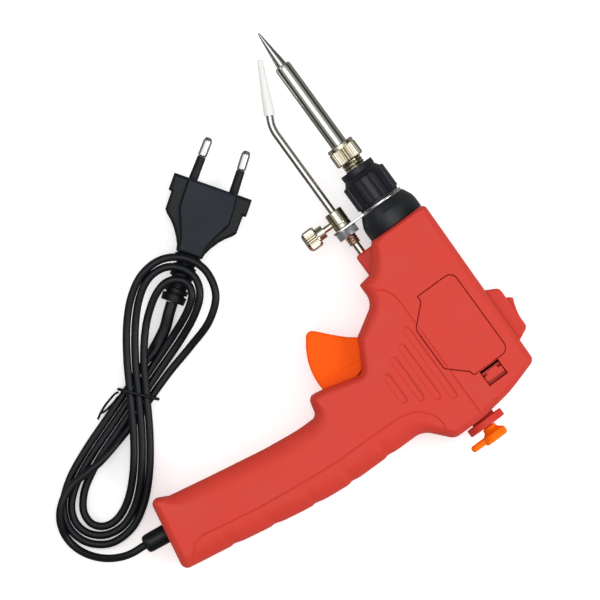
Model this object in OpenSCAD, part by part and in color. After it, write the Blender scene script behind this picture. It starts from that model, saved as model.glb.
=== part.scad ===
// Trigger-fed soldering gun with a heated barrel, lying on its side with its mains lead tied up.
// x runs forward to the tip, y from the barrel down to the grip, and z up from the surface it lies on.

/* [Casing] */
// Length of the casing from its nose face to its rear face
body_len = 90.4; // [88:0.2:94]
// From the barrel axis down to the end of the grip
grip_reach = 163.3; // [160:0.1:170]
// From the barrel axis up to the top of the casing
top_rise = 14.6; // [14.2:0.1:16]
// Thickness across both halves of the casing
body_w = 36; // [35:0.5:40]
// Wall of the casing
wall = 2.2; // [1.8:0.1:2.4]
// How far the widest edge rounding runs across the side
edge_w = 8; // [6:0.5:9]
// How far the edge rounding runs down from the side
edge_depth = 7; // [5:0.5:8]
// Height of the switch hump above the top of the casing
hump_rise = 5.3; // [5:0.1:6]
// Width of the switch hump
hump_w = 16; // [15:0.5:18]

/* [Barrel] */
// Outer diameter of the barrel sleeve
sleeve_d = 7.6; // [7.2:0.1:8.2]
// Wall of the barrel sleeve
sleeve_wall = 0.5; // [0.4:0.05:0.6]
// Visible length of the barrel sleeve
sleeve_len = 42.4; // [36:0.2:50]
// Length of the bare cone of the soldering bit
cone_len = 17.3; // [12:0.1:22]
// Diameter of the cone where it leaves the sleeve
cone_d = 4.4; // [3.6:0.1:4.8]
// Diameter of the ceramic heating element
heater_d = 4.6; // [4:0.1:5]
// Diameter of the knurled nut
nut_d = 13.2; // [12.6:0.1:15]
// Length of the knurled nut
nut_len = 8.7; // [8:0.1:11]
// Diameter of the heater socket's thread
neck_d = 9.6; // [9:0.1:10]
// Length of thread that shows behind the knurled nut
neck_gap = 3.7; // [2:0.1:6]
// Diameter over the ribs of the heat collar
collar_d = 20.9; // [19:0.1:23]
// Length of the heat collar
collar_len = 18; // [16:0.1:20]
// Diameter of the nose cap
cap_d = 26.7; // [26:0.1:27.5]
// Length of the nose cap
cap_len = 11.1; // [10:0.1:13]

/* [Solder feed] */
// From the barrel axis down to the solder's path
wire_drop = 19.5; // [19.2:0.1:19.9]
// Diameter of the solder that the feed is set for
wire_d = 1; // [0.8:0.1:1.2]
// Outer diameter of the feed tube and of the inner guides
tube_d = 3.4; // [3.2:0.1:3.6]
// Bore of the feed tube and of the inner guides
tube_bore = 2; // [1.6:0.1:2.2]
// Straight length of the feed tube ahead of the bracket
tube_reach = 49.8; // [40:0.2:56]
// Angle that the feed tube turns towards the tip
tube_turn = 26; // [20:1:30]
// Length of the feed nozzle
nozzle_len = 24.7; // [20:0.1:26]
// Diameter of the feed nozzle at its root
nozzle_d = 5; // [4.6:0.1:5.6]
// Thickness of the bracket plate
plate_t = 1.1; // [0.9:0.1:1.5]
// Diameter of the tube clamp
clamp_d = 8.3; // [8:0.1:9]
// Length of the tube clamp's head
clamp_len = 8.5; // [7.5:0.1:10]
// Diameter of the tube clamp's threaded stud
stud_d = 5.6; // [5.4:0.1:6]
// Diameter of the thumb screw's head
screw_head_d = 9.6; // [8.6:0.1:11]
// Diameter of the feed wheel
wheel_d = 21.2; // [20.8:0.1:21.6]
// Thickness of the feed wheel
wheel_t = 5; // [4:0.1:5.4]
// Tooth size of the gears
gear_module = 0.8; // [0.79:0.01:0.81]
// Thickness of the gears
gear_t = 4; // [3:0.1:4.2]
// Diameter of the pressure roller
roller_d = 9.2; // [8.4:0.1:9.6]

/* [Trigger] */
// From the trigger's pivot to its curved end
trigger_r = 30.4; // [29.6:0.1:30.8]
// Width of the trigger
trigger_w = 16; // [15:0.5:17]
// Travel of the trigger in degrees
trigger_travel = 18; // [14:1:20]
// Diameter of the trigger's pin
trigger_pin_d = 4; // [3.5:0.1:4.5]

/* [Rear] */
// Diameter of the rear collar
rear_d = 17.6; // [16:0.1:19]
// Thickness of the rear collar
rear_t = 2.9; // [2.4:0.1:3.6]
// Diameter of the wire inlet's mouth
inlet_d = 11.6; // [10:0.1:13]
// From the solder's path down to the end of the inlet's tab
tab_reach = 12; // [10:0.1:14]

/* [Cord and plug] */
// Width of the flat cord
cord_w = 5.2; // [5:0.1:5.4]
// Thickness of the flat cord
cord_t = 3.4; // [3:0.1:3.5]
// Width of the plug
plug_w = 35.8; // [35.3:0.1:37]
// Thickness of the plug
plug_t = 13.7; // [13:0.1:13.9]
// Length of the plug's body
plug_len = 32.2; // [30:0.1:35]
// Diameter of the plug's pins
pin_d = 4; // [3.94:0.01:4.06]
// Length of the plug's pins
pin_len = 19; // [18.5:0.1:19.5]
// Distance between the plug's pins at their roots
pin_pitch = 18.6; // [18:0.1:19.2]

/* [Hidden] */
$fn = 48;

// Clearances and small shared sizes
run_gap = 0.06;          // radial clearance of a part that turns or slides on a shaft
part_gap = 0.3;          // clearance between pieces that move past each other
seat_gap = 0.05;         // radial clearance of a fixed piece in its seat
cut = 1;                 // overrun of every cut

half_w = body_w / 2;
side_in = half_w - wall; // inner face of each side wall

// Outline of the casing, clockwise from the top of the nose: share of body_len behind the nose face,
// share of top_rise above the axis or of grip_reach below it, corner radius as a share of body_len,
// and width of the rounding on the edge that follows as a share of edge_w
outline_shares = [
    [0, -1, 0.025, 0.38], [0.917, -0.918, 0.035, 0.38], [0.973, 0.018, 0.5, 0.38],
    [1, 0.122, 0.2, 0.38], [1, 0.21, 0.055, 0.5], [0.881, 0.269, 0.1, 1],
    [0.882, 0.52, 1.3, 1], [0.858, 0.637, 1.1, 1], [0.788, 0.86, 1.1, 1],
    [0.748, 1, 0.035, 0.38], [0.373, 0.963, 0.03, 0.25], [0.416, 0.916, 0.05, 0.75],
    [0.4535, 0.802, 0.9, 0.75], [0.504, 0.637, 0.9, 0.75], [0.524, 0.539, 0.7, 0.75],
    [0.524, 0.475, 0.035, 0.38], [0.423, 0.4617, 0.035, 0.38], [0.435, 0.4225, 0.015, 0.38],
    [0.489, 0.309, 0.035, 0.38], [0.33, 0.261, 0.01, 0.62], [0.237, 0.1764, 0.13, 0.62],
    [0.135, 0.1764, 0.009, 0.62], [0.1206, 0.1304, 0.055, 0.62], [0, 0.0833, 0.007, 0.19]
];
function x_at(share) = -share * body_len;
function y_at(share) = share < 0 ? share * top_rise : share * grip_reach;
corners = [for (s = outline_shares) [x_at(s[0]), y_at(s[1]), s[2] * body_len]];
edges = [for (s = outline_shares) s[3] * edge_w];
arc_step = 22;           // degrees that one side of a rounded corner spans
reach_share = 0.45;      // most of an edge that a corner may take
least_r = 1.2;

// Lines along the casing
x_plate = cap_len;
x_collar = x_plate + plate_t;
x_neck = x_collar + collar_len;
x_nut = x_neck + neck_gap;
x_sleeve = x_nut + nut_len;
x_shoulder = x_sleeve + sleeve_len;
x_tip = x_shoulder + cone_len;
x_rear = -body_len;
rear_neck_t = 1.3;
x_disc = x_rear - rear_neck_t;
x_stem = x_disc - rear_t;
inlet_len = 7.1;
x_inlet = x_stem - inlet_len;

// The rocker's peak is the highest point above the barrel
rocker_x = x_at(0.6715);
rocker_rise = 2.4;
y_hump = -top_rise + top_rise * (1 - 0.98) - hump_rise;
y_peak = y_hump - rocker_rise;

// Middle of the box around everything but the cord and its pieces
mid_x = (x_tip + x_inlet) / 2;
mid_y = (y_peak + grip_reach) / 2;

// Small vector helpers
function unit(v) = v / norm(v);
function cross2(a, b) = a[0] * b[1] - a[1] * b[0];
function turned(v, a) = [v[0] * cos(a) - v[1] * sin(a), v[0] * sin(a) + v[1] * cos(a)];
function dir2(a) = [cos(a), sin(a)];
function eased(k) = let (c = min(max(k, 0), 1)) c * c * (3 - 2 * c);
function arc_points(r, from, to, steps) = [for (i = [0:steps]) r * dir2(from + (to - from) * i / steps)];

// One closed ring: the outline with each edge moved in by its own depth, then rounded
function edge_line(c, depth, i) =
    let (a = c[i], b = c[(i + 1) % len(c)], d = unit([b[0] - a[0], b[1] - a[1]]))
    [[a[0], a[1]] + [d[1], -d[0]] * depth[i], d];
function meeting(p, q) = p[0] + p[1] * cross2(q[0] - p[0], q[1]) / cross2(p[1], q[1]);
function ring(c, depth) =
    let (
        n = len(c),
        lines = [for (i = [0:n - 1]) edge_line(c, depth, i)],
        at = [for (i = [0:n - 1]) meeting(lines[(i + n - 1) % n], lines[i])],
        span = [for (i = [0:n - 1]) norm(at[(i + 1) % n] - at[i])]
    )
    [for (i = [0:n - 1]) let (
        d0 = lines[(i + n - 1) % n][1],
        d1 = lines[i][1],
        turn = atan2(cross2(d0, d1), d0 * d1),
        side = turn < 0 ? -1 : 1,
        mean = (depth[(i + n - 1) % n] + depth[i]) / 2,
        want = max(c[i][2] + side * mean, least_r),
        reach = min(want * tan(abs(turn) / 2), reach_share * min(span[(i + n - 1) % n], span[i])),
        r = reach / tan(abs(turn) / 2),
        steps = max(1, ceil(abs(turn) / arc_step)),
        start = at[i] - d0 * reach,
        middle = start + side * r * [-d0[1], d0[0]]
    ) for (k = [0:steps]) middle + turned(start - middle, turn * k / steps)];
function moved_in(depth, by) = [for (e = depth) e + by];
function part_of(depth, share) = [for (e = depth) e * share];
function at_height(pts, z) = [for (p = pts) [p[0], p[1], z]];
function strip(a, b, n) = [for (i = [0:n - 1]) let (j = (i + 1) % n) each [
    [a * n + i, a * n + j, b * n + j], [a * n + i, b * n + j, b * n + i]
]];

// Flat end of a ring, cut into triangles one corner at a time
function right_of(p, a, b) = cross2([b[0] - a[0], b[1] - a[1]], [p[0] - a[0], p[1] - a[1]]) <= 0;
function covers(a, b, c, p) = right_of(p, a, b) && right_of(p, b, c) && right_of(p, c, a);
function is_ear(p, id, k) =
    let (n = len(id), i = id[(k + n - 1) % n], j = id[k], l = id[(k + 1) % n])
    !right_of(p[j], p[i], p[l])
    && len([for (m = id) if (m != i && m != j && m != l && covers(p[i], p[j], p[l], p[m])) m]) == 0;
function next_ear(p, id, k) = k >= len(id) - 1 ? k : is_ear(p, id, k) ? k : next_ear(p, id, k + 1);
function ears(p, id) =
    len(id) == 3 ? [id]
    : let (n = len(id), k = next_ear(p, id, 0))
    concat(
        [[id[(k + n - 1) % n], id[k], id[(k + 1) % n]]],
        ears(p, [for (m = [k + 1:1:k + n - 1]) id[m % n]])
    );
function flat_end(ring, a) =
    let (n = len(ring))
    [for (t = ears(ring, [for (i = [0:n - 1]) i])) [for (i = t) a * n + i]];
function flipped(faces) = [for (f = faces) [f[2], f[1], f[0]]];

// Tube swept along points: the section stands across each point's direction, its height axis near z
flat_shares8 = [[1, 0.45], [0.6, 1], [-0.6, 1], [-1, 0.45], [-1, -0.45], [-0.6, -1], [0.6, -1], [1, -0.45]];
flat_shares6 = [[1, 0.5], [0, 1], [-1, 0.5], [-1, -0.5], [0, -1], [1, -0.5]];
function heading(p, i, shut) =
    let (n = len(p))
    unit(shut ? p[(i + 1) % n] - p[(i + n - 1) % n] : p[min(i + 1, n - 1)] - p[max(i - 1, 0)]);
function swept(p, w, h, section, shut = false) =
    [for (i = [0:len(p) - 1]) let (
        t = heading(p, i, shut),
        s = unit(cross([0, 0, 1], t)),
        u = cross(t, s)
    ) for (q = section) p[i] + s * q[0] * w / 2 + u * q[1] * h / 2];
module tube(p, w, h, section) {
    n = len(section);
    last = len(p) - 1;
    body = [for (i = [0:last - 1]) each strip(i + 1, i, n)];
    start_cap = [for (k = [1:n - 2]) [0, k, k + 1]];
    end_cap = [for (k = [1:n - 2]) [last * n, last * n + k + 1, last * n + k]];
    polyhedron(swept(p, w, h, section), concat(body, start_cap, end_cap));
}
module coil(r, wire, length, turns, steps = 10) {
    p = [for (i = [0:turns * steps]) [
        r * cos(360 * i / steps), r * sin(360 * i / steps), wire / 2 + (length - wire) * i / (turns * steps)
    ]];
    n = 6;
    last = len(p) - 1;
    ringed = [for (i = [0:last]) let (
        t = heading(p, i, false),
        s = unit([p[i][0], p[i][1], 0]),
        u = cross(t, s)
    ) for (k = [0:n - 1]) p[i] + (s * cos(360 * k / n) + u * sin(360 * k / n)) * wire / 2];
    body = [for (i = [0:last - 1]) each strip(i + 1, i, n)];
    start_cap = [for (k = [1:n - 2]) [0, k, k + 1]];
    end_cap = [for (k = [1:n - 2]) [last * n, last * n + k + 1, last * n + k]];
    polyhedron(ringed, concat(body, start_cap, end_cap));
}

// Turned pieces and bars along x
module turned_x(profile) rotate([0, 90, 0]) rotate_extrude() polygon(profile);
module bar_x(from, to, d) translate([from, 0, 0]) rotate([0, 90, 0]) cylinder(d = d, h = to - from);
module on_wire() translate([0, wire_drop, 0]) children();
module placed() translate([-mid_x, -mid_y, half_w]) children();
// Serrated disc in the xy plane
module serrated(d, depth, count) {
    polygon([for (i = [0:2 * count - 1]) (d / 2 - (i % 2) * depth) * dir2(180 * i / count)]);
}

// Barrel
heater_gap = 0.15;
tip_body_d = sleeve_d - 2 * sleeve_wall - 2 * heater_gap;
flange_step = 0.4;
sleeve_flange_d = neck_d - flange_step;
lip_t = 1.4;
shoulder_t = 0.9;
flange_t = 1;
x_flange = x_sleeve - lip_t - flange_t - part_gap;
socket_back = 20;
socket_shoulder_d = 14;
socket_shoulder_t = 2.8;
cap_flange_d = 22;
cap_spigot_d = 19.2;
cap_flange_t = 2.4;
point_d = 0.7;
module soldering_tip() {
    color("silver") turned_x([
        [heater_d / 2 + heater_gap, x_sleeve], [tip_body_d / 2, x_sleeve],
        [tip_body_d / 2, x_shoulder - shoulder_t - heater_gap], [cone_d / 2,
            x_shoulder - shoulder_t - heater_gap],
        [cone_d / 2, x_shoulder], [point_d / 2, x_tip - point_d / 2], [point_d / 4, x_tip], [0, x_tip],
        [0, x_shoulder - 4 * shoulder_t], [heater_d / 2 + heater_gap, x_shoulder - 4 * shoulder_t]
    ]);
}
module barrel_sleeve() {
    inner = sleeve_d / 2 - sleeve_wall;
    color("lightgray") turned_x([
        [inner, x_flange], [sleeve_flange_d / 2, x_flange], [sleeve_flange_d / 2, x_flange + flange_t],
        [sleeve_d / 2, x_flange + flange_t], [sleeve_d / 2, x_shoulder - shoulder_t],
        [sleeve_d / 2 - shoulder_t / 3, x_shoulder - shoulder_t / 3], [sleeve_d / 2 - shoulder_t,
            x_shoulder],
        [cone_d / 2 + heater_gap, x_shoulder], [cone_d / 2 + heater_gap, x_shoulder - shoulder_t],
        [inner, x_shoulder - shoulder_t]
    ]);
}
module heating_element() {
    color("white") bar_x(-socket_back - 2 * shoulder_t, x_shoulder - 5 * shoulder_t, heater_d);
}
nut_ridges = 40;
nut_ridge = 0.35;
nut_chamfer = 1;
module knurled_nut() {
    color("wheat") difference() {
        intersection() {
            translate([x_nut, 0, 0]) rotate([0, 90, 0]) linear_extrude(nut_len) serrated(nut_d,
                nut_ridge, nut_ridges);
            turned_x([
                [0, x_nut], [nut_d / 2 - nut_chamfer, x_nut], [nut_d / 2, x_nut + nut_chamfer],
                [nut_d / 2, x_sleeve - nut_chamfer], [nut_d / 2 - nut_chamfer, x_sleeve], [0, x_sleeve]
            ]);
        }
        bar_x(x_nut - cut, x_sleeve - lip_t, neck_d + 2 * run_gap);
        bar_x(x_nut, x_sleeve + cut, sleeve_d + 2 * run_gap);
    }
}
module heater_socket() {
    color("gainsboro") turned_x([
        [heater_d / 2 + seat_gap, -socket_back], [neck_d / 2, -socket_back],
        [neck_d / 2, -cap_flange_t - wall - socket_shoulder_t],
        [socket_shoulder_d / 2, -cap_flange_t - wall - socket_shoulder_t],
        [socket_shoulder_d / 2, -cap_flange_t - wall],
        [neck_d / 2, -cap_flange_t - wall], [neck_d / 2, x_flange - part_gap],
        [heater_d / 2 + seat_gap, x_flange - part_gap]
    ]);
}
collar_ribs = 26;
rib_h = 0.8;
collar_front_share = 0.77;
collar_cone_t = 2.6;
collar_front_t = 2.6;
collar_back_t = 1.4;
module heat_collar() {
    x_cone = x_neck - collar_front_t - collar_cone_t;
    color("dimgray") difference() {
        union() {
            bar_x(x_collar, x_collar + collar_back_t + seat_gap, collar_d - 2.5 * rib_h);
            translate([x_collar + collar_back_t, 0, 0]) rotate([0, 90, 0])
                linear_extrude(x_cone - x_collar - collar_back_t) serrated(collar_d, rib_h, collar_ribs);
            turned_x([
                [0, x_cone - seat_gap], [collar_d / 2 - 2 * rib_h, x_cone - seat_gap],
                [collar_d / 2 - 2 * rib_h, x_cone],
                [collar_d * collar_front_share / 2 - rib_h / 2, x_neck - collar_front_t],
                [collar_d * collar_front_share / 2, x_neck - collar_front_t],
                [collar_d * collar_front_share / 2, x_neck], [0, x_neck]
            ]);
        }
        bar_x(x_collar - cut, x_neck + cut, neck_d + 2 * seat_gap);
    }
}
arm_w = 9;
arm_end = 5.5;
module bracket_plate() {
    color("silver") translate([x_plate, 0, 0]) rotate([0, 90, 0]) linear_extrude(plate_t) difference() {
        union() {
            circle(d = collar_d);
            translate([-arm_w / 2, 0]) square([arm_w, wire_drop + arm_end - arm_w / 2]);
            translate([0, wire_drop + arm_end - arm_w / 2]) circle(d = arm_w);
        }
        circle(d = neck_d + 2 * seat_gap);
        translate([0, wire_drop]) circle(d = stud_d + 2 * seat_gap);
    }
}
cap_front_share = 0.83;
cap_band_share = 0.4;
module nose_cap() {
    color("#2a2d31") turned_x([
        [neck_d / 2 + seat_gap, -wall - cap_flange_t], [cap_flange_d / 2, -wall - cap_flange_t],
        [cap_flange_d / 2, -wall - seat_gap], [cap_spigot_d / 2, -wall - seat_gap], [cap_spigot_d / 2, 0],
        [cap_d / 2, 0], [cap_d / 2, cap_len * cap_band_share],
        [cap_d / 2 * (1 + 2 * cap_front_share) / 3 + shoulder_t, cap_len * (1 + cap_band_share) / 2],
        [cap_d / 2 * cap_front_share, cap_len - shoulder_t / 2],
        [cap_d / 2 * cap_front_share - shoulder_t / 2, cap_len],
        [neck_d / 2 + seat_gap, cap_len]
    ]);
}

// Solder feed ahead of the casing
stud_len = 8.9;
x_screw = x_collar + clamp_len * 0.44;
clamp_screw_d = 2.8;
module tube_clamp() {
    color("wheat") on_wire() difference() {
        union() {
            bar_x(x_collar, x_collar + clamp_len, clamp_d);
            bar_x(x_collar - stud_len, x_collar + seat_gap, stud_d);
        }
        bar_x(x_collar - stud_len - cut, x_collar + clamp_len + cut, tube_d + 2 * run_gap);
        translate([x_screw, 0, 0]) rotate([-90, 0, 0]) cylinder(d = clamp_screw_d + 2 * run_gap,
            h = clamp_d);
    }
}
hex_af = 10;
hex_t = 3.5;
module lock_nut() {
    color("slategray") on_wire() translate([x_plate - hex_t, 0, 0]) rotate([0, 90, 0]) difference() {
        cylinder(d = hex_af / cos(30), h = hex_t, $fn = 6);
        translate([0, 0, -cut]) cylinder(d = stud_d + 2 * seat_gap, h = hex_t + 2 * cut);
    }
}
screw_collar_d = 6.1;
screw_collar_t = 3.2;
screw_stem = 3.8;
screw_head_t = 6.8;
screw_ridges = 32;
module thumb_screw() {
    y_collar = clamp_d / 2 + screw_stem;
    color("wheat") on_wire() translate([x_screw, 0, 0]) rotate([-90, 0, 0]) {
        translate([0, 0, tube_d / 2 + part_gap]) cylinder(d = clamp_screw_d, h = y_collar - tube_d / 2);
        translate([0, 0, y_collar]) cylinder(d = screw_collar_d, h = screw_collar_t);
        translate([0, 0, y_collar + screw_collar_t - seat_gap]) {
            rim = screw_head_d / 2 - 2 * nut_ridge;
            cylinder(r = rim - nut_ridge, h = screw_head_t / 2);
            translate([0, 0, nut_ridge]) linear_extrude(screw_head_t - 2 * nut_chamfer)
                serrated(screw_head_d, nut_ridge, screw_ridges);
            translate([0, 0, screw_head_t - 2 * nut_chamfer])
                cylinder(r1 = rim, r2 = rim - nut_chamfer, h = 2 * nut_chamfer);
        }
    }
}
tube_back = 12.5;
bend_r = 15;
tube_grip = 6;
tube_rest = 2.1;
x_bend = x_collar + tube_reach;
module at_tube_end(by) {
    translate([x_bend + bend_r * sin(tube_turn), wire_drop - bend_r * (1 - cos(tube_turn)), 0])
        rotate([0, 0, -tube_turn]) translate([by, 0, 0]) children();
}
tube_sides = 24;
module tube_run(d, over) {
    on_wire() bar_x(x_collar + clamp_len - tube_back - over, x_bend + seat_gap, d);
    translate([x_bend, wire_drop - bend_r, 0]) rotate([0, 0, 90 - tube_turn])
        rotate_extrude(angle = tube_turn) translate([bend_r, 0]) circle(d = d);
    at_tube_end(0) bar_x(-seat_gap, tube_rest + tube_grip + over, d);
}
module feed_tube() {
    $fn = tube_sides;
    color("silver") difference() {
        tube_run(tube_d, 0);
        tube_run(tube_bore, cut);
    }
}
nozzle_end_share = 0.5;
module feed_nozzle() {
    color("white") at_tube_end(tube_rest) turned_x([
        [tube_d / 2 + seat_gap, 0], [nozzle_d / 2, 0], [nozzle_d / 2 * nozzle_end_share, nozzle_len],
        [wire_d * 0.8, nozzle_len], [wire_d * 0.8, tube_grip + seat_gap],
        [tube_d / 2 + seat_gap, tube_grip + seat_gap]
    ]);
}

// Gears: the sector on the trigger turns the feed wheel's small gear
pressure = 20;
wheel_teeth = 13;
sector_teeth = 61;
gear_back = 0.05;
add_share = 0.87;
sector_add_share = 0.8;
ded_share = 1.2;
mesh_gap = 0.1;
function pitch_r(teeth) = gear_module * teeth / 2;
function involute(a) = tan(a) * 180 / PI - a;
function tooth_half(teeth, r) =
    let (base = pitch_r(teeth) * cos(pressure))
    90 / teeth - gear_back / pitch_r(teeth) * 180 / PI + involute(pressure) - involute(acos(min(1,
        base / max(r, base))));
function tooth(teeth, add, middle) =
    let (
        base = pitch_r(teeth) * cos(pressure),
        root = pitch_r(teeth) - ded_share * gear_module,
        top = pitch_r(teeth) + add * gear_module,
        low = max(root, base),
        radii = [root, low, (low + pitch_r(teeth)) / 2, pitch_r(teeth), (pitch_r(teeth) + top) / 2, top]
    )
    concat(
        [for (r = radii) r * dir2(middle - tooth_half(teeth, r))],
        [for (i = [len(radii) - 1:-1:0]) radii[i] * dir2(middle + tooth_half(teeth, radii[i]))]
    );
feed_x = x_at(0.409);
wheel_y = wire_drop - wire_d / 2 - wheel_d / 2;
pivot = [feed_x, wheel_y + pitch_r(wheel_teeth) + pitch_r(sector_teeth) + mesh_gap];
gear_z = -trigger_w / 2;
axle_d = 5;
wheel_ridges = 60;
wheel_ridge = 0.3;
spacer_d = 8;
wheel_hole_d = 3.6;
wheel_holes = 5;
module feed_wheel() {
    color("peru") translate([feed_x, wheel_y, -wheel_t / 2]) difference() {
        union() {
            linear_extrude(wheel_t) serrated(wheel_d, wheel_ridge, wheel_ridges);
            translate([0, 0, gear_z + gear_t + wheel_t / 2]) cylinder(d = spacer_d, h = -gear_z - gear_t);
        }
        translate([0, 0, gear_z]) cylinder(d = axle_d + 2 * run_gap, h = wheel_t - 2 * gear_z);
        for (i = [0:wheel_holes - 1]) rotate([0, 0, 360 * i / wheel_holes])
            translate([(wheel_d + spacer_d) / 4, 0, -cut]) cylinder(d = wheel_hole_d,
                h = wheel_t + 2 * cut);
    }
}
module feed_gear() {
    color("lightgray") translate([feed_x, wheel_y, gear_z]) difference() {
        linear_extrude(gear_t) polygon([
            for (k = [0:wheel_teeth - 1]) each tooth(wheel_teeth, add_share,
                90 + 360 * (k + 0.5) / wheel_teeth)
        ]);
        translate([0, 0, -cut]) cylinder(d = axle_d + 2 * run_gap, h = gear_t + 2 * cut);
    }
}
axle_post_d = 9;
clip_t = 0.8;
clip_d = 9;
module feed_axle() {
    top = wheel_t / 2 + part_gap + 2 * clip_t;
    color("silver") translate([feed_x, wheel_y, 0]) difference() {
        translate([0, 0, -side_in]) cylinder(d = axle_d, h = side_in + top);
        translate([0, 0, wheel_t / 2 + part_gap]) difference() {
            cylinder(d = axle_d + cut, h = clip_t);
            translate([0, 0, -cut]) cylinder(d = axle_d - 2 * clip_t, h = clip_t + 2 * cut);
        }
    }
}
module axle_clip() {
    color("darkgray") translate([feed_x, wheel_y, wheel_t / 2 + part_gap]) difference() {
        cylinder(d = clip_d, h = clip_t);
        translate([0, 0, -cut]) cylinder(d = axle_d - 2 * clip_t + 2 * seat_gap, h = clip_t + 2 * cut);
        translate([0, -(axle_d - 2 * clip_t) / 2, -cut]) cube([clip_d, axle_d - 2 * clip_t,
            clip_t + 2 * cut]);
    }
}

// Trigger: finger piece, hub and toothed sector in one moulding
hub_d = 10.4;
tip_angle = 47;
heel_angle = 112;
tip_soft = 2.5;
front_set = 1.5;
sector_from = -5;
sector_to = 1;
finger_pts = concat(
    [front_set * [sin(tip_angle), -cos(tip_angle)]],
    [(trigger_r - tip_soft) * dir2(tip_angle - 2.6)],
    arc_points(trigger_r, tip_angle + 2, heel_angle, 14)
);
module trigger() {
    tooth_step = 360 / sector_teeth;
    root = pitch_r(sector_teeth) - ded_share * gear_module;
    color("#ff6210") translate([pivot[0], pivot[1], 0]) difference() {
        union() {
            translate([0, 0, -trigger_w / 2]) linear_extrude(trigger_w) polygon(finger_pts);
            translate([0, 0, -trigger_w / 2]) cylinder(d = hub_d, h = trigger_w);
            translate([0, 0, gear_z]) linear_extrude(gear_t) polygon(concat(
                [[0, 0]],
                [root * dir2(-90 + (sector_from - 0.5) * tooth_step)],
                [for (k = [sector_from:sector_to]) each tooth(sector_teeth, sector_add_share,
                    -90 + k * tooth_step)],
                [root * dir2(-90 + (sector_to + 0.5) * tooth_step)]
            ));
        }
        translate([0, 0, -trigger_w]) cylinder(d = trigger_pin_d + 2 * run_gap, h = 2 * trigger_w);
    }
}
pin_seat = 5;
module trigger_pin() {
    reach = trigger_w / 2 + part_gap + pin_seat;
    color("silver") translate([pivot[0], pivot[1], -reach]) cylinder(d = trigger_pin_d, h = 2 * reach);
}
spring_arm = 20;
spring_len = 11.4;
spring_d = 5;
spring_wire = 0.7;
seat_t = 2;
module on_trigger_spring(by) {
    translate([pivot[0], pivot[1], 0]) rotate([0, 0, heel_angle]) translate([spring_arm, by, 0])
        rotate([-90, 0, 0]) children();
}
module trigger_spring() {
    color("silver") on_trigger_spring(part_gap) coil((spring_d - spring_wire) / 2, spring_wire,
        spring_len, 6);
}

// Pressure roller on its sprung lever
roller_y = wire_drop + wire_d / 2 + roller_d / 2;
lever_x = x_at(0.686);
lever_drop = 9;
lever_y = wire_drop + lever_drop;
lever_t = 2.5;
lever_gap = 0.7;
lever_z = wheel_t / 2 + lever_gap;
lever_w = 4.8;
lever_pin_d = 3;
roller_pin_d = 2.4;
roller_pin_head = 0.6;
module lever_bar() {
    run = [feed_x - lever_x, roller_y - lever_y];
    circle(d = 1.4 * lever_w);
    rotate([0, 0, atan2(run[1], run[0])]) translate([0, -lever_w / 2]) square([norm(run), lever_w]);
    translate(run) circle(d = 1.3 * lever_w);
}
module pressure_lever() {
    color("silver") translate([lever_x, lever_y, lever_z]) difference() {
        union() {
            linear_extrude(lever_t) lever_bar();
            translate([feed_x - lever_x, roller_y - lever_y, part_gap - lever_gap])
                cylinder(d = 1.6 * roller_pin_d, h = lever_gap - part_gap + lever_t / 2);
        }
        translate([0, 0, -lever_t]) cylinder(d = lever_pin_d + 2 * run_gap, h = 3 * lever_t);
        translate([feed_x - lever_x, roller_y - lever_y, -lever_t])
            cylinder(d = roller_pin_d + 2 * seat_gap, h = 3 * lever_t);
    }
}
module roller_axle() {
    low = -wheel_t / 2 - part_gap;
    color("silver") translate([feed_x, roller_y, 0]) {
        translate([0, 0, low]) cylinder(d = roller_pin_d, h = lever_z + lever_t - low);
        translate([0, 0, low - roller_pin_head]) cylinder(d = 1.6 * roller_pin_d,
            h = roller_pin_head + seat_gap);
    }
}
module pressure_roller() {
    color("gainsboro") translate([feed_x, roller_y, -wheel_t / 2]) difference() {
        cylinder(d = roller_d, h = wheel_t);
        translate([0, 0, -cut]) cylinder(d = roller_pin_d + 2 * run_gap, h = wheel_t + 2 * cut);
    }
}
module lever_pin() {
    reach = lever_z + lever_t + pin_seat;
    color("silver") translate([lever_x, lever_y, -pin_seat]) cylinder(d = lever_pin_d,
        h = reach + pin_seat);
}
lever_spring_x = x_at(0.553);
lever_spring_len = 8.6;
lever_spring_d = 3.6;
lever_spring_y = lever_y + (roller_y - lever_y) * (lever_spring_x - lever_x) / (feed_x - lever_x) +
    lever_w / 2 + part_gap;
module lever_spring() {
    color("silver") translate([lever_spring_x, lever_spring_y, lever_z + lever_t / 2]) rotate([-90, 0, 0])
        coil((lever_spring_d - spring_wire) / 2, spring_wire, lever_spring_len, 5);
}

// Inner guides of the solder
guide_stop = 6.2;
guide_front = 5;
module guide_tube(from, to) {
    on_wire() difference() {
        bar_x(from, to, tube_d);
        bar_x(from - cut, to + cut, tube_bore);
    }
}
module wire_guide() {
    color("wheat") guide_tube(feed_x + guide_stop, guide_front);
}
x_guide_end = x_rear + 4.4;
module rear_guide() {
    color("wheat") guide_tube(x_guide_end, feed_x - guide_stop);
}

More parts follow.
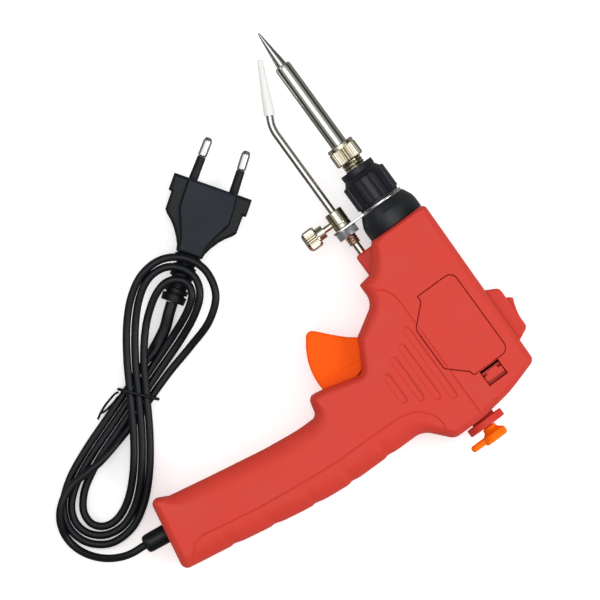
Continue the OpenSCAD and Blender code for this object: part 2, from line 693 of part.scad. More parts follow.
// Rear collar and wire inlet
rear_neck_d = 11;
rear_flange_d = 14;
rear_flange_t = 2;
inlet_stem_d = 4.4;
stem_d = 6.2;
rim_t = 3.7;
tab_t = 3.1;
tab_w = 6;
mouth_d = 7;
module rear_collar() {
    x_in = x_rear + wall + 2 * seat_gap;
    color("#d83a33") on_wire() difference() {
        union() {
            bar_x(x_disc - seat_gap, x_in + seat_gap, rear_neck_d);
            bar_x(x_in, x_in + rear_flange_t, rear_flange_d);
            turned_x([
                [0, x_disc], [rear_d / 2, x_disc], [rear_d / 2, x_stem + rear_t / 3],
                [rear_d / 2 - rear_t / 3, x_stem], [0, x_stem]
            ]);
        }
        bar_x(x_stem - cut, x_in + rear_flange_t + cut, inlet_stem_d + 2 * run_gap);
    }
}
module wire_inlet() {
    color("#ff7a1e") on_wire() difference() {
        union() {
            turned_x([
                [0, x_guide_end - part_gap], [inlet_stem_d / 2, x_guide_end - part_gap],
                [inlet_stem_d / 2, x_stem - part_gap], [stem_d / 2, x_stem - part_gap],
                [stem_d / 2, x_stem - stem_d / 4], [inlet_d / 2, x_inlet + rim_t],
                [inlet_d / 2, x_inlet + rim_t / 4], [inlet_d / 2 - rim_t / 4, x_inlet], [0, x_inlet]
            ]);
            translate([x_inlet + rim_t / 4, 0, -tab_w / 2]) cube([tab_t, tab_reach - tab_w / 2, tab_w]);
            translate([x_inlet + rim_t / 4, tab_reach - tab_w / 2, 0]) rotate([0, 90,
                0]) cylinder(d = tab_w, h = tab_t);
        }
        bar_x(x_inlet - cut, x_guide_end + cut, tube_bore);
        turned_x([[0, x_inlet - cut], [mouth_d / 2, x_inlet - cut], [mouth_d / 2, x_inlet], [0,
            x_inlet + mouth_d / 2]]);
    }
}

// Switch in the hump and its rocker
hump_shares = [[0.502, -0.98, 0], [0.541, -0.98, -1], [0.763, -0.98, -1], [0.803, -0.94, 0]];
hump_points = concat(
    [[x_at(hump_shares[0][0]), -top_rise * 0.7], [x_at(hump_shares[0][0]), hump_shares[0][1] * top_rise]],
    [for (s = [hump_shares[1], hump_shares[2]]) [x_at(s[0]), y_hump]],
    [[x_at(hump_shares[3][0]), hump_shares[3][1] * top_rise], [x_at(hump_shares[3][0]), -top_rise * 0.7]]
);
rocker_half = 6.6;
rocker_w = 7;
rocker_y = y_hump + 2.4;
rocker_pin_d = 1.8;
rocker_play = 0.9;
rocker_pts = rocker_half * [
    [1, -0.41], [0.7, -0.73], [0.27, -0.56], [-0.06, -0.455], [-0.94, -0.33], [-1.02, -0.06], [-0.5,
        0.35], [0.5, 0.35]
];
switch_top = rocker_y + 0.75 * rocker_half;
switch_h = 10;
switch_w = 11;
switch_in = 1.2;
module rocker() {
    color("#d83a33") translate([rocker_x, rocker_y, 0]) difference() {
        translate([0, 0, -rocker_w / 2]) linear_extrude(rocker_w) polygon(rocker_pts);
        translate([0, 0, -rocker_w]) cylinder(d = rocker_pin_d + 2 * run_gap, h = 2 * rocker_w);
    }
}
module rocker_pin() {
    color("silver") translate([rocker_x, rocker_y, -hump_w / 2 + switch_in]) cylinder(d = rocker_pin_d,
        h = hump_w - 2 * switch_in);
}
module rocker_switch() {
    color("#26282b") translate([rocker_x, switch_top, 0]) {
        translate([-rocker_half, 0, -switch_w / 2]) cube([2 * rocker_half, switch_h, switch_w]);
    }
}

// Side cover, its hinge pin and its latch
cover_shares = [
    [0.343, -0.48, 0.04], [0.805, -0.48, 0.04], [0.805, 0.0695, 0.006], [0.782, 0.073, 0.02],
    [0.697, 0.1243, 0.03], [0.467, 0.1243, 0.03], [0.372, 0.0695, 0.02], [0.343, 0.0695, 0.006]
];
cover_corners = [for (s = cover_shares) [x_at(s[0]), y_at(s[1]), s[2] * body_len]];
cover_t = wall;
knuckle_r = cover_t / 2;
cover_pin_d = 1;
hinge_x = x_at(0.343) - knuckle_r;
hinge_z = half_w - knuckle_r;
hinge_from = y_at(-0.3);
hinge_to = y_at(0.062);
pin_over = 4.5;
line_gap = 0.3;
module side_cover() {
    color("#d83a33") difference() {
        union() {
            intersection() {
                translate([0, 0, half_w - cover_t]) linear_extrude(cover_t)
                    polygon(ring(cover_corners, [for (c = cover_corners) 0]));
                union() {
                    translate([x_rear, hinge_from - body_len, 0])
                        cube([hinge_x - knuckle_r - x_rear, 2 * body_len, body_w]);
                    translate([x_rear, hinge_from, 0]) cube([hinge_x - x_rear, hinge_to - hinge_from,
                        body_w]);
                }
            }
            translate([hinge_x, hinge_from, hinge_z]) rotate([-90, 0, 0]) cylinder(r = knuckle_r,
                h = hinge_to - hinge_from);
        }
        translate([hinge_x, hinge_from - pin_over, hinge_z]) rotate([-90, 0, 0])
            cylinder(d = cover_pin_d + 2 * run_gap, h = hinge_to - hinge_from + 2 * pin_over);
    }
}
module cover_pin() {
    color("silver") translate([hinge_x, hinge_from - pin_over, hinge_z]) rotate([-90, 0, 0])
        cylinder(d = cover_pin_d, h = hinge_to - hinge_from + 2 * pin_over);
}
latch_x = x_at(0.8075);
latch_len = 7.7;
latch_y = y_at(0.0245);
latch_h = 9.7;
latch_t = 1.6;
latch_tab_w = 5.4;
latch_head = 3;
latch_travel = 1.4;
latch_plate_len = 6;
latch_sunk = 1;
latch_set = 0.4;
latch_lap = 2.4;
ear_w = 3.6;
ear_t = 1.8;
latch_spring_d = 2.6;
latch_spring_len = 5;
spring_y = latch_y + latch_h / 2 + latch_lap + ear_w / 2;
ear_x = latch_x - latch_travel;
seat_x = ear_x - ear_t - latch_spring_len - 2 * part_gap;
module cover_latch() {
    plate_z = side_in - part_gap - latch_t;
    color("#d83a33") {
        translate([ear_x - latch_plate_len, latch_y - latch_h / 2 + part_gap, plate_z])
            cube([latch_plate_len, latch_h - part_gap + latch_lap, latch_t]);
        translate([ear_x - ear_t, spring_y - ear_w / 2 - seat_gap, plate_z - latch_spring_d])
            cube([ear_t, ear_w + seat_gap, latch_spring_d + latch_t]);
        translate([latch_x - latch_len / 2, latch_y - latch_tab_w / 2, side_in - part_gap - seat_gap])
            cube([latch_len / 2 - latch_travel - latch_set, latch_tab_w, wall - latch_sunk + part_gap]);
        translate([latch_x - latch_len + latch_travel + part_gap, latch_y - latch_h / 2 + part_gap,
            side_in - part_gap - seat_gap])
            cube([latch_head, latch_h - 2 * part_gap, wall - latch_sunk + part_gap]);
    }
}
module latch_spring() {
    color("silver") translate([seat_x + part_gap, spring_y, side_in - part_gap - latch_t -
        latch_spring_d / 2 - part_gap])
        rotate([0, 90, 0]) coil((latch_spring_d - spring_wire) / 2, spring_wire / 1.6, latch_spring_len,
            5, 8);
}

// Casing halves
depth_steps = [0, 30, 60, 90];
shell_levels = concat([[0, 0]], [for (a = depth_steps) [half_w - edge_depth + edge_depth * sin(a),
    1 - cos(a)]]);
cavity_levels = [[side_in, 1], [side_in - edge_depth * 0.25, 0.35], [side_in - edge_depth * 0.8, 0], [0,
    0]];
module casing_half() {
    outer = [for (l = shell_levels) at_height(ring(corners, part_of(edges, l[1])), l[0])];
    inner = [for (l = cavity_levels) at_height(ring(corners, moved_in(part_of(edges, l[1]), wall)), l[0])];
    n = len(outer[0]);
    a = len(outer);
    b = a + len(inner) - 1;
    polyhedron(
        [for (r = concat(outer, inner)) each r],
        concat(
            [for (i = [0:a - 2]) each strip(i, i + 1, n)],
            [for (i = [a:b - 1]) each strip(i, i + 1, n)],
            strip(b, 0, n), flat_end(outer[a - 1], a - 1), flipped(flat_end(inner[0], a))
        )
    );
}
screw_spots = [[0.144, -0.63], [0.885, -0.51], [0.929, 0.184], [0.63, 0.563], [0.675, 0.894]];
boss_d = 7;
board_post_d = 5;
shell_screw_d = 2.6;
screw_cap_d = 5;
screw_cap_t = 2;
feed_boss_d = 7;
feed_boss_x = x_at(0.0144);
relief_at = [x_at(0.552), grip_reach * 0.989];
relief_angle = 83.5;
relief_d = 8.6;
relief_neck_d = 6.4;
slot_w = trigger_w + 2 * part_gap + 4 * seat_gap;
slot_room = 0.8;
rib_x = x_at(0.935);
rib_t = 2.4;
clamp_at = [x_at(0.564), grip_reach * 0.931];
clamp_bar = [12, 4, 2.4];
module slot_shape() {
    polygon(concat([[0, 0]], arc_points(trigger_r + slot_room, 24, heel_angle + trigger_travel + 6, 16)));
}
module hole(at, d, from, to) translate([at[0], at[1], from]) cylinder(d = d, h = to - from);
post_sides = 12;
module post(at, d, from, to) translate([at[0], at[1], from]) cylinder(d = d, h = to - from,
    $fn = post_sides);
// What both halves have: drawn for the upper half, and mirrored for the lower
module casing_common() {
    difference() {
        union() {
            casing_half();
            linear_extrude(hump_w / 2) polygon(hump_points);
            intersection() {
                translate([x_at(0.2), 0, 0]) cube([feed_boss_x - x_at(0.2), wire_drop + feed_boss_d / 2,
                    feed_boss_d / 2]);
                union() {
                    on_wire() translate([x_at(0.2), 0, 0]) rotate([0, 90, 0])
                        cylinder(d = feed_boss_d, h = feed_boss_x - x_at(0.2), $fn = post_sides);
                    translate([x_at(0.2), cap_d / 2 + 2 * part_gap, 0])
                        cube([feed_boss_x - x_at(0.2), wire_drop - cap_d / 2 - 2 * part_gap,
                            feed_boss_d / 2]);
                }
            }
            for (s = screw_spots) post([x_at(s[0]), y_at(s[1])], boss_d, 0, half_w - wall / 2);
            post(pivot, 2 * trigger_pin_d, slot_w / 2 - seat_gap, half_w - wall / 2);
            translate([rib_x, wire_drop - tube_d, 0]) cube([rib_t, 2 * tube_d, half_w - wall / 2]);
        }
        bar_x(-wall - cut, cut, cap_spigot_d + 2 * seat_gap);
        on_wire() bar_x(x_at(0.2) - cut, cap_len, tube_d + 2 * seat_gap);
        on_wire() bar_x(rib_x - cut, rib_x + rib_t + cut, tube_d + 2 * seat_gap);
        on_wire() bar_x(x_rear - wall, x_rear + wall + cut, rear_neck_d + 2 * seat_gap);
        on_wire() bar_x(x_rear + wall + seat_gap, x_rear + wall + rear_flange_t + cut,
            rear_flange_d + 2 * seat_gap);
        translate([pivot[0], pivot[1], -cut]) linear_extrude(slot_w / 2 + cut) slot_shape();
        translate([rocker_x - rocker_half - rocker_play, y_hump - cut, -cut])
            cube([2 * rocker_half + 2 * rocker_play, switch_top - y_hump + cut,
                rocker_w / 2 + part_gap + cut]);
        translate([rocker_x - rocker_half - seat_gap, switch_top - seat_gap, -cut])
            cube([2 * rocker_half + 2 * seat_gap, switch_h / 2, switch_w / 2 + seat_gap + cut]);
        hole([rocker_x, rocker_y], rocker_pin_d + 2 * seat_gap, 0, hump_w / 2 - switch_in);
        hole(pivot, trigger_pin_d + 2 * seat_gap, 0, trigger_w / 2 + 2 * part_gap + pin_seat);
        translate([relief_at[0], relief_at[1], 0]) rotate([0, 0, relief_angle])
            bar_x(-4 * wall, 4 * wall, relief_neck_d + 2 * seat_gap);
    }
}
module upper_shell() {
    spring_seat_y = lever_spring_y + lever_spring_len + part_gap;
    color("#d9453d") difference() {
        union() {
            casing_common();
            post([lever_x, lever_y], 2.2 * lever_pin_d, lever_z + lever_t + part_gap, half_w - wall / 2);
            translate([lever_spring_x - lever_spring_d, spring_seat_y, lever_z - part_gap])
                cube([2 * lever_spring_d, seat_t, half_w - wall / 2 - lever_z]);
            translate([seat_x - seat_t, spring_y - ear_w / 2 + part_gap, side_in - 2 * latch_spring_d])
                cube([seat_t, ear_w, 2 * latch_spring_d + wall / 2]);
        }
        hole([lever_x, lever_y], lever_pin_d + 2 * seat_gap, 0, lever_z + lever_t + pin_seat + part_gap);
        for (s = screw_spots) hole([x_at(s[0]), y_at(s[1])], shell_screw_d + 2 * seat_gap, -cut,
            half_w / 2);
        translate([0, 0, side_in - cut]) linear_extrude(wall + 2 * cut)
            polygon(ring(cover_corners, [for (c = cover_corners) -line_gap]));
        translate([hinge_x, hinge_from - pin_over - seat_gap, hinge_z]) rotate([-90, 0, 0])
            cylinder(d = cover_pin_d + 2 * seat_gap, h = hinge_to - hinge_from + 2 * pin_over + 2 *
                seat_gap);
        translate([latch_x - latch_len, latch_y - latch_h / 2, side_in - cut]) cube([latch_len, latch_h,
            wall + 2 * cut]);
    }
}
module lower_shell() {
    color("#d9453d") difference() {
        union() {
            mirror([0, 0, 1]) casing_common();
            post([lever_x, lever_y], 2.2 * lever_pin_d, -half_w + wall / 2, lever_z - part_gap);
            post([feed_x, wheel_y], axle_post_d, -half_w + wall / 2, gear_z - part_gap);
            on_trigger_spring(spring_len + 2 * part_gap) translate([-spring_d / 2, -spring_d / 2, 0])
                cube([spring_d, half_w - wall / 2 + spring_d / 2, seat_t]);
            translate([clamp_at[0] - clamp_bar[0] / 2, clamp_at[1] - clamp_bar[1] / 2, -half_w + wall / 2])
                cube([clamp_bar[0], clamp_bar[1], half_w - wall / 2 - cord_w / 2 - seat_gap]);
            for (y = [-1, 1]) at_board() translate([0, y * board_l * 0.35, -half_w + wall / 2])
                cylinder(d = board_post_d, h = half_w - wall / 2 + board_z, $fn = post_sides);
        }
        hole([lever_x, lever_y], lever_pin_d + 2 * seat_gap, -pin_seat - seat_gap, lever_z);
        hole([feed_x, wheel_y], axle_d + 2 * seat_gap, -side_in, gear_z);
        for (s = screw_spots) {
            hole([x_at(s[0]), y_at(s[1])], shell_screw_d + 4 * seat_gap, -half_w - cut, cut);
            hole([x_at(s[0]), y_at(s[1])], screw_cap_d + 4 * seat_gap, -half_w - cut,
                -side_in + screw_cap_t);
        }
    }
}
module shell_screws() {
    low = -side_in + screw_cap_t;
    color("gray") for (s = screw_spots) translate([x_at(s[0]), y_at(s[1]), low]) {
        cylinder(d = shell_screw_d, h = half_w / 2 - cut - low);
        translate([0, 0, -screw_cap_t]) cylinder(d = screw_cap_d, h = screw_cap_t);
    }
}

// Board, diode, leads and cord clamp in the grip
board_w = 13;
board_l = 30;
board_t = 1.6;
board_z = 3;
board_tilt = 10;
board_at = [x_at(0.649), grip_reach * 0.741];
diode_d = 2.7;
diode_l = 5.2;
lead_d = 1.8;
module at_board() translate([board_at[0], board_at[1], 0]) rotate([0, 0, -board_tilt]) children();
module circuit_board() {
    color("darkgreen") at_board() translate([-board_w / 2, -board_l / 2, board_z]) cube([board_w,
        board_l, board_t]);
}
module diode() {
    color("#1c1c1e") at_board() translate([0, -diode_l / 2, board_z + board_t + diode_d / 2])
        rotate([-90, 0, 0]) {
        cylinder(d = diode_d, h = diode_l);
    }
}
// Inner leads: each point is a share of the casing's length, its reach down or up and its half width
function in_casing(p) = [x_at(p[0]), y_at(p[1]), p[2] * half_w];
inner_route = [
    [0.5686, 0.9032, 0], [0.5619, 0.8696, -0.166667], [0.5642, 0.8022, -0.388889],
    [0.5808, 0.7226, -0.5], [0.6195, 0.6552, -0.5], [0.6914, 0.5971, -0.5], [0.7522, 0.5205, -0.5],
    [0.7799, 0.4164, -0.5], [0.7799, 0.3184, -0.5], [0.802, 0.2572, -0.5], [0.8407, 0.196, -0.5],
    [0.8462, 0.1225, -0.5], [0.8241, 0.04899, -0.444444], [0.7633, 0.003062, -0.333333],
    [0.7301, -0.1096, -0.222222]
];
heater_route = [
    [0.6084, -0.1096, -0.166667], [0.5863, 0.006124, -0.444444], [0.542, -0.06849, -0.611111],
    [0.4646, -0.3425, -0.666667], [0.3761, -0.4452, -0.666667], [0.3097, -0.3767, -0.527778],
    [0.2655, -0.2055, -0.305556], [0.2544, -0.137, -0.194444]
];
cord_tail = 15;
module inner_leads() {
    color("#3a3c40") {
        tube([for (p = inner_route) in_casing(p)], lead_d, lead_d, flat_shares6);
        tube([for (p = heater_route) in_casing(p)], lead_d, lead_d, flat_shares6);
        translate([relief_at[0], relief_at[1], 0]) rotate([0, 0, relief_angle])
            translate([-cord_tail, -cord_t / 2, -cord_w / 2]) cube([cord_tail - relief_in, cord_t, cord_w]);
    }
}
module cord_clamp() {
    color("dimgray") translate([clamp_at[0], clamp_at[1], 0]) difference() {
        translate([-clamp_bar[0] / 2, -clamp_bar[1] / 2, -cord_w / 2 - seat_gap])
            cube([clamp_bar[0], clamp_bar[1], cord_w + 2 * seat_gap + clamp_bar[2]]);
        translate([-cord_t, -clamp_bar[1], -cord_w]) cube([2 * cord_t, 2 * clamp_bar[1],
            1.5 * cord_w + 2 * seat_gap]);
    }
}
relief_out = 9.4;
relief_in = 6;
module strain_relief() {
    color("#26282b") translate([relief_at[0], relief_at[1], 0]) rotate([0, 0, relief_angle]) turned_x([
        [0, -relief_in], [relief_d / 2, -relief_in], [relief_d / 2, -2 * wall], [relief_neck_d / 2,
            -2 * wall],
        [relief_neck_d / 2, wall / 2], [relief_d / 2, wall / 2], [relief_d / 2, relief_out - wall / 2],
        [relief_d / 2 - wall / 2, relief_out], [0, relief_out]
    ]);
}

// Cord: points in millimetres, measured along x and y like the casing and up from the surface
lead_route = [
    [-48.8, 171.2, 18], [-48.3, 177.5, 17.8], [-46.5, 183, 15.2], [-43, 188.5, 11.2], [-38, 193, 7],
    [-32, 196.5, 3.8], [-25.5, 198, 2.8], [-19.5, 197.5, 4.2], [-14, 195, 6.8], [-10, 190.5, 8.5],
    [-8, 185, 8.6], [-7.5, 178.5, 8.6], [-8, 172, 8.6], [-8, 166, 8.5], [-7, 160, 7.6], [-5.5, 154, 5.4],
    [-3.7, 147, 4.2], [-1.6, 139.2, 4.2]
];
end_route = [
    [13.4, 131, 4.2], [15.1, 125.5, 4.2], [17.1, 119.5, 4.2], [19.6, 113.5, 4.5], [22.6, 108,
        5.4], [26.1, 103.8, 6.5]
];
// Hank: a figure of eight that spirals, its strands side by side and crossing at the waist
waist = [6, 134.5];
hank_angle = -50;
hank_low = 60;
hank_up = 56;
hank_wide = 13.5;
hank_pinch = 0.04;
low_bow = -5;
up_bow = 5;
strand_space = 0.6;
hank_pitch = cord_t + strand_space;
hank_loops = 3;
under_z = 4.2;
over_z = 10;
top_z = 14.4;
function eight(t) =
    let (s = sin(t), reach = s < 0 ? hank_low : hank_up)
    [hank_wide * reach / hank_low * (sin(2 * t) - hank_pinch * sin(4 * t)), reach * s];
function hank_plan(t) =
    let (
        d = unit(eight(t + 0.5) - eight(t - 0.5)),
        shift = hank_pitch * (hank_loops / 2 - t / 360),
        p = eight(t) + [d[1], -d[0]] * shift,
        s = sin(t),
        q = turned(p, -(s < 0 ? low_bow : up_bow) * s)
    )
    waist + turned([q[1], -q[0]], hank_angle);
function hank_height(m) =
    m < 17 ? under_z
    : m < 57 ? under_z + (top_z - under_z) * eased((m - 17) / 40)
    : m < 115 ? top_z
    : m < 163 ? top_z + (over_z - top_z) * eased((m - 115) / 48)
    : m < 197 ? over_z
    : m < 240 ? over_z + (cord_w / 2 - over_z) * eased((m - 197) / 43)
    : m < 318 ? cord_w / 2
    : m < 343 ? cord_w / 2 + (under_z - cord_w / 2) * eased((m - 318) / 25)
    : under_z;
function hank_point(t) = let (p = hank_plan(t)) [p[0], p[1], hank_height(t - 360 * floor(t / 360))];
hank_steps = 24;
hank_count = hank_loops * hank_steps;
hank_start = hank_point(0);
hank_end = hank_point(360 * hank_loops);
hank_path = [for (i = [0:hank_count]) hank_point(360 * i / hank_steps)];
// Least gap between strands, measured on points between the rings
fine_path = [for (i = [0:hank_count - 1]) for (k = [0:2]) hank_path[i] + (hank_path[i + 1] -
    hank_path[i]) * k / 3];
function strand_gap(a, b) = max(norm([a[0] - b[0], a[1] - b[1]]) - cord_t, abs(a[2] - b[2]) - cord_w);
least_gap = min([for (i = [0:len(fine_path) - 1]) for (j = [i + 12:1:len(fine_path) - 1])
    strand_gap(fine_path[i], fine_path[j])]);
echo(least_gap = least_gap);
function path_length(p) = len(p) < 2 ? 0 : norm(p[1] - p[0]) + path_length([for (i = [1:len(p) - 1]) p[i]]);
echo(hank_length = path_length(hank_path), lead_length = path_length(concat(lead_route, [hank_start])));
function from_surface(p) = [for (q = p) [q[0], q[1], q[2] - half_w]];
module cord_lead() {
    color("#2c2e31") tube(from_surface(concat(lead_route, [hank_start])), cord_t, cord_w, flat_shares8);
}
module cord_hank() {
    color("#2c2e31") tube(from_surface(hank_path), cord_t, cord_w, flat_shares6);
}
plug_at = [60.3, 54.6];
plug_angle = 124.5;
relief_steps = 5;
plug_relief_len = 21.8;
plug_relief_d = 9;
plug_relief_core = 7.4;
plug_z = plug_t / 2;
plug_exit = plug_at + (plug_len + plug_relief_len) * dir2(plug_angle);
module cord_end() {
    color("#2c2e31") tube(
        from_surface(concat([hank_end], end_route, [[plug_exit[0], plug_exit[1],
            plug_z]])), cord_t, cord_w, flat_shares8
    );
}
tie_d = 1.3;
tie_half = 8.9;
tie_low = 0.75;
tie_high = 13.5;
function tie_point(c, z) = let (p = waist + turned([0, -c], hank_angle)) [p[0], p[1], z];
tie_route = [
    [-7.4, 13.5], [-8.6, 12.4], [-8.9, 10], [-8.9, 4], [-8.6, 1.6], [-7.4, 0.75],
    [7.4, 0.75], [8.6, 1.6], [8.9, 4], [8.9, 10], [8.6, 12.4], [7.4, 13.5]
];
tail_route = [[11.9, 141.2, 8.5], [12.4, 143.5, 6.5], [11.6, 147, 4], [9.6, 151.5, 2], [7.2, 155.5, 0.8]];
module cord_tie() {
    p = from_surface([for (q = tie_route) tie_point(q[0], q[1])]);
    n = 6;
    count = len(p);
    pts = [for (i = [0:count - 1]) let (
        t = heading(p, i, true),
        s = [cos(hank_angle), sin(hank_angle), 0],
        u = cross(t, s)
    ) for (k = [0:n - 1]) p[i] + (s * cos(360 * k / n) + u * sin(360 * k / n)) * tie_d / 2];
    color("#1c1c1e") {
        polyhedron(pts, [for (i = [0:count - 1]) each strip((i + 1) % count, i, n)]);
        tube(from_surface(tail_route), tie_d, tie_d, flat_shares6);
    }
}

// Plug: the body narrows from its shoulders to the relief; the outline runs clockwise
plug_shares = [
    [0, 1, 0.02, 0.2], [0, -1, 0.02, 0.35], [0.258, -1, 0.02, 0.35], [0.268, -0.918, 0.02, 0.35],
    [0.53, -0.925, 0.05, 0.5], [0.72, -0.575, 0.3, 0.6], [1, -0.32, 0.02, 0.2], [1, 0.32, 0.02, 0.6],
    [0.72, 0.575, 0.3, 0.5], [0.53, 0.925, 0.05, 0.35], [0.268, 0.918, 0.02, 0.35], [0.258, 1, 0.02, 0.35]
];
plug_corners = [for (s = plug_shares) [s[0] * plug_len, -s[1] * plug_w / 2, s[2] * plug_len]];
plug_soft = 6;
plug_edges = [for (s = plug_shares) s[3] * plug_soft];
plug_levels = [[-1, 1], [-0.8, 0.4], [-0.4, 0], [0.4, 0], [0.8, 0.4], [1, 1]];
module at_plug() translate([plug_at[0], plug_at[1], plug_z - half_w]) rotate([0, 0, plug_angle]) children();
module plug_body() {
    rings = [for (l = plug_levels) at_height(ring(plug_corners, part_of(plug_edges, l[1])),
        l[0] * plug_t / 2)];
    n = len(rings[0]);
    last = len(rings) - 1;
    color("#30343a") at_plug() difference() {
        polyhedron(
            [for (r = rings) each r],
            concat(
                [for (i = [0:last - 1]) each strip(i, i + 1, n)],
                flat_end(rings[last], last), flipped(flat_end(rings[0], 0))
            )
        );
        for (s = [-1, 1]) plug_pin_place(s) bar_x(-cut, pin_root + seat_gap, pin_d + 2 * seat_gap);
    }
}
pin_lean = 1.7;
pin_root = 6;
sleeve_share = 0.53;
sleeve_set = 0.1;
module plug_pin_place(s) translate([0, s * pin_pitch / 2, 0]) rotate([0, 0, s * pin_lean]) children();
module plug_sleeves() {
    color("#26282b") at_plug() for (s = [-1, 1]) plug_pin_place(s) difference() {
        bar_x(-pin_len * sleeve_share, pin_root, pin_d - 2 * sleeve_set);
        bar_x(-pin_len, pin_root + cut, pin_d * 0.7);
    }
}
module plug_pins() {
    color("silver") at_plug() for (s = [-1, 1]) plug_pin_place(s) {
        bar_x(-pin_len * sleeve_share - seat_gap, pin_root, pin_d * 0.7 - 2 * seat_gap);
        turned_x([
            [0, -pin_len], [pin_d / 4, -pin_len], [pin_d / 2, -pin_len + pin_d / 3],
            [pin_d / 2, -pin_len * sleeve_share], [0, -pin_len * sleeve_share]
        ]);
    }
}
module plug_relief() {
    step = plug_relief_len / relief_steps;
    color("#26282b") at_plug() for (i = [0:relief_steps - 1]) {
        bar_x(plug_len + i * step, plug_len + (i + 1) * step, plug_relief_core);
        bar_x(plug_len + (i + 0.4) * step, plug_len + (i + 1) * step, plug_relief_d);
    }
}

placed() soldering_tip();
placed() barrel_sleeve();
placed() heating_element();
placed() knurled_nut();
placed() heater_socket();
placed() heat_collar();
placed() bracket_plate();
placed() nose_cap();
placed() tube_clamp();
placed() lock_nut();
placed() thumb_screw();
placed() feed_tube();
placed() feed_nozzle();
placed() wire_guide();
placed() rear_guide();
placed() lower_shell();
placed() upper_shell();
placed() side_cover();
placed() cover_pin();
placed() cover_latch();
placed() latch_spring();
placed() trigger();
placed() trigger_pin();
placed() trigger_spring();
placed() feed_wheel();
placed() feed_gear();
placed() feed_axle();
placed() axle_clip();
placed() pressure_roller();
placed() roller_axle();
placed() pressure_lever();
placed() lever_pin();
placed() lever_spring();
placed() rocker_switch();
placed() rocker();
placed() rocker_pin();
placed() rear_collar();
placed() wire_inlet();
placed() shell_screws();
placed() circuit_board();
placed() diode();
placed() inner_leads();
placed() cord_clamp();
placed() strain_relief();
placed() cord_lead();
placed() cord_hank();
placed() cord_end();
placed() cord_tie();
placed() plug_body();
placed() plug_sleeves();
placed() plug_pins();
placed() plug_relief();
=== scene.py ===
import math

import bpy
import numpy as np
from mathutils import Matrix, Vector
from mathutils.geometry import delaunay_2d_cdt


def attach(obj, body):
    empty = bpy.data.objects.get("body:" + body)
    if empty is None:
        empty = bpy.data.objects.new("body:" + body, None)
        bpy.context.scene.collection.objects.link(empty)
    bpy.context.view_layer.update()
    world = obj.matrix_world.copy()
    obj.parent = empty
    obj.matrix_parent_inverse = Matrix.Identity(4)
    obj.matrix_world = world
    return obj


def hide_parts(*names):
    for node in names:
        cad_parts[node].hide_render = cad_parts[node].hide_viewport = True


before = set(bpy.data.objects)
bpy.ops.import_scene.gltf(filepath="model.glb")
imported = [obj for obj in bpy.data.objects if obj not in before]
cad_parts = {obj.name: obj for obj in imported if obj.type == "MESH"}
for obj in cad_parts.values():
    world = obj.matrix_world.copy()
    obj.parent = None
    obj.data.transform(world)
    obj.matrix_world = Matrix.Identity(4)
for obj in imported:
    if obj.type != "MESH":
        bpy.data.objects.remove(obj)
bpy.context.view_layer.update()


# Every length below is in millimetres in the gun's own frame: x runs forward from the nose face of the
# casing, y from the barrel's axis down to the grip, and z up from the parting line of the casing.
mm = 0.001
midX, midY, halfW = 0.3, 70.646, 18.0


def toRow(points):
    a = np.asarray(points, float).reshape(-1, 3)
    return (a - np.array([midX, midY, -halfW])) * mm


# camera

cameraValues = {"distance": 8.0, "frameWidth": 0.2609, "aim": (-2.19, 53.48, 0), "sensor": 36}


def addCamera():
    v = cameraValues
    data = bpy.data.cameras.new("camera")
    cam = bpy.data.objects.new("camera", data)
    bpy.context.scene.collection.objects.link(cam)
    right = Vector((-0.5878, -0.8090, 0))
    up = Vector((0.8090, -0.5878, 0))
    back = Vector((0, 0, 1))
    cam.location = Vector(toRow(v["aim"])[0]) + back * v["distance"]
    cam.rotation_mode = "QUATERNION"
    cam.rotation_quaternion = Matrix([[right[i], up[i], back[i]] for i in range(3)]).to_quaternion()
    data.sensor_width = v["sensor"]
    data.lens = v["sensor"] * v["distance"] / v["frameWidth"]
    data.clip_start = 0.02
    data.clip_end = 20
    bpy.context.scene.camera = cam


addCamera()


# meshes: a part is its points and its faces


def addMesh(name, part, material, sharp=40, wall=0.0):
    points, faces = part
    mesh = bpy.data.meshes.new(name)
    mesh.from_pydata([tuple(p) for p in toRow(points)], [], [tuple(f) for f in faces])
    mesh.validate()
    mesh.update()
    mesh.materials.append(looks[material])
    mesh.shade_smooth()
    mesh.set_sharp_from_angle(angle=math.radians(sharp))
    obj = bpy.data.objects.new(name, mesh)
    bpy.context.scene.collection.objects.link(obj)
    if wall:
        mod = obj.modifiers.new("wall", "SOLIDIFY")
        mod.thickness = wall * mm
        mod.offset = -1
    return obj


def finishPiece(obj, body, slotName, *nodes):
    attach(obj, body)
    if nodes:
        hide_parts(*nodes)
    return obj


def addPiece(name, part, material, body, slotName, *nodes, sharp=40, wall=0.0):
    return finishPiece(addMesh(name, part, material, sharp, wall), body, slotName, *nodes)


def joined(parts):
    points, faces, start = [], [], 0
    for p, f in parts:
        p = np.asarray(p, float).reshape(-1, 3)
        points.append(p)
        faces.extend([tuple(i + start for i in q) for q in f])
        start += len(p)
    return np.vstack(points), faces


def mirrored(part):
    p = part[0].copy()
    p[:, 2] *= -1
    return p, [tuple(reversed(f)) for f in part[1]]


# a part turned about z, then moved
def shifted(part, by, turn):
    p = part[0].copy()
    c, s = math.cos(turn), math.sin(turn)
    p[:, [0, 1]] = np.stack([p[:, 0] * c - p[:, 1] * s, p[:, 0] * s + p[:, 1] * c], 1)
    return p + np.array(by, float), part[1]


# a part made along x stood up along z, at a place in the plan
def stood(part, x, y):
    return part[0][:, [1, 2, 0]] + np.array([x, y, 0]), part[1]


# a part made flat in the plan set across the barrel, its heights along x
def acrossBarrel(part):
    return part[0][:, [2, 0, 1]], part[1]


def gridFaces(rows, cols, shutRows=False):
    faces = []
    for i in range(rows if shutRows else rows - 1):
        k = (i + 1) % rows
        for j in range(cols):
            n = (j + 1) % cols
            faces.append((i * cols + j, i * cols + n, k * cols + n, k * cols + j))
    return faces


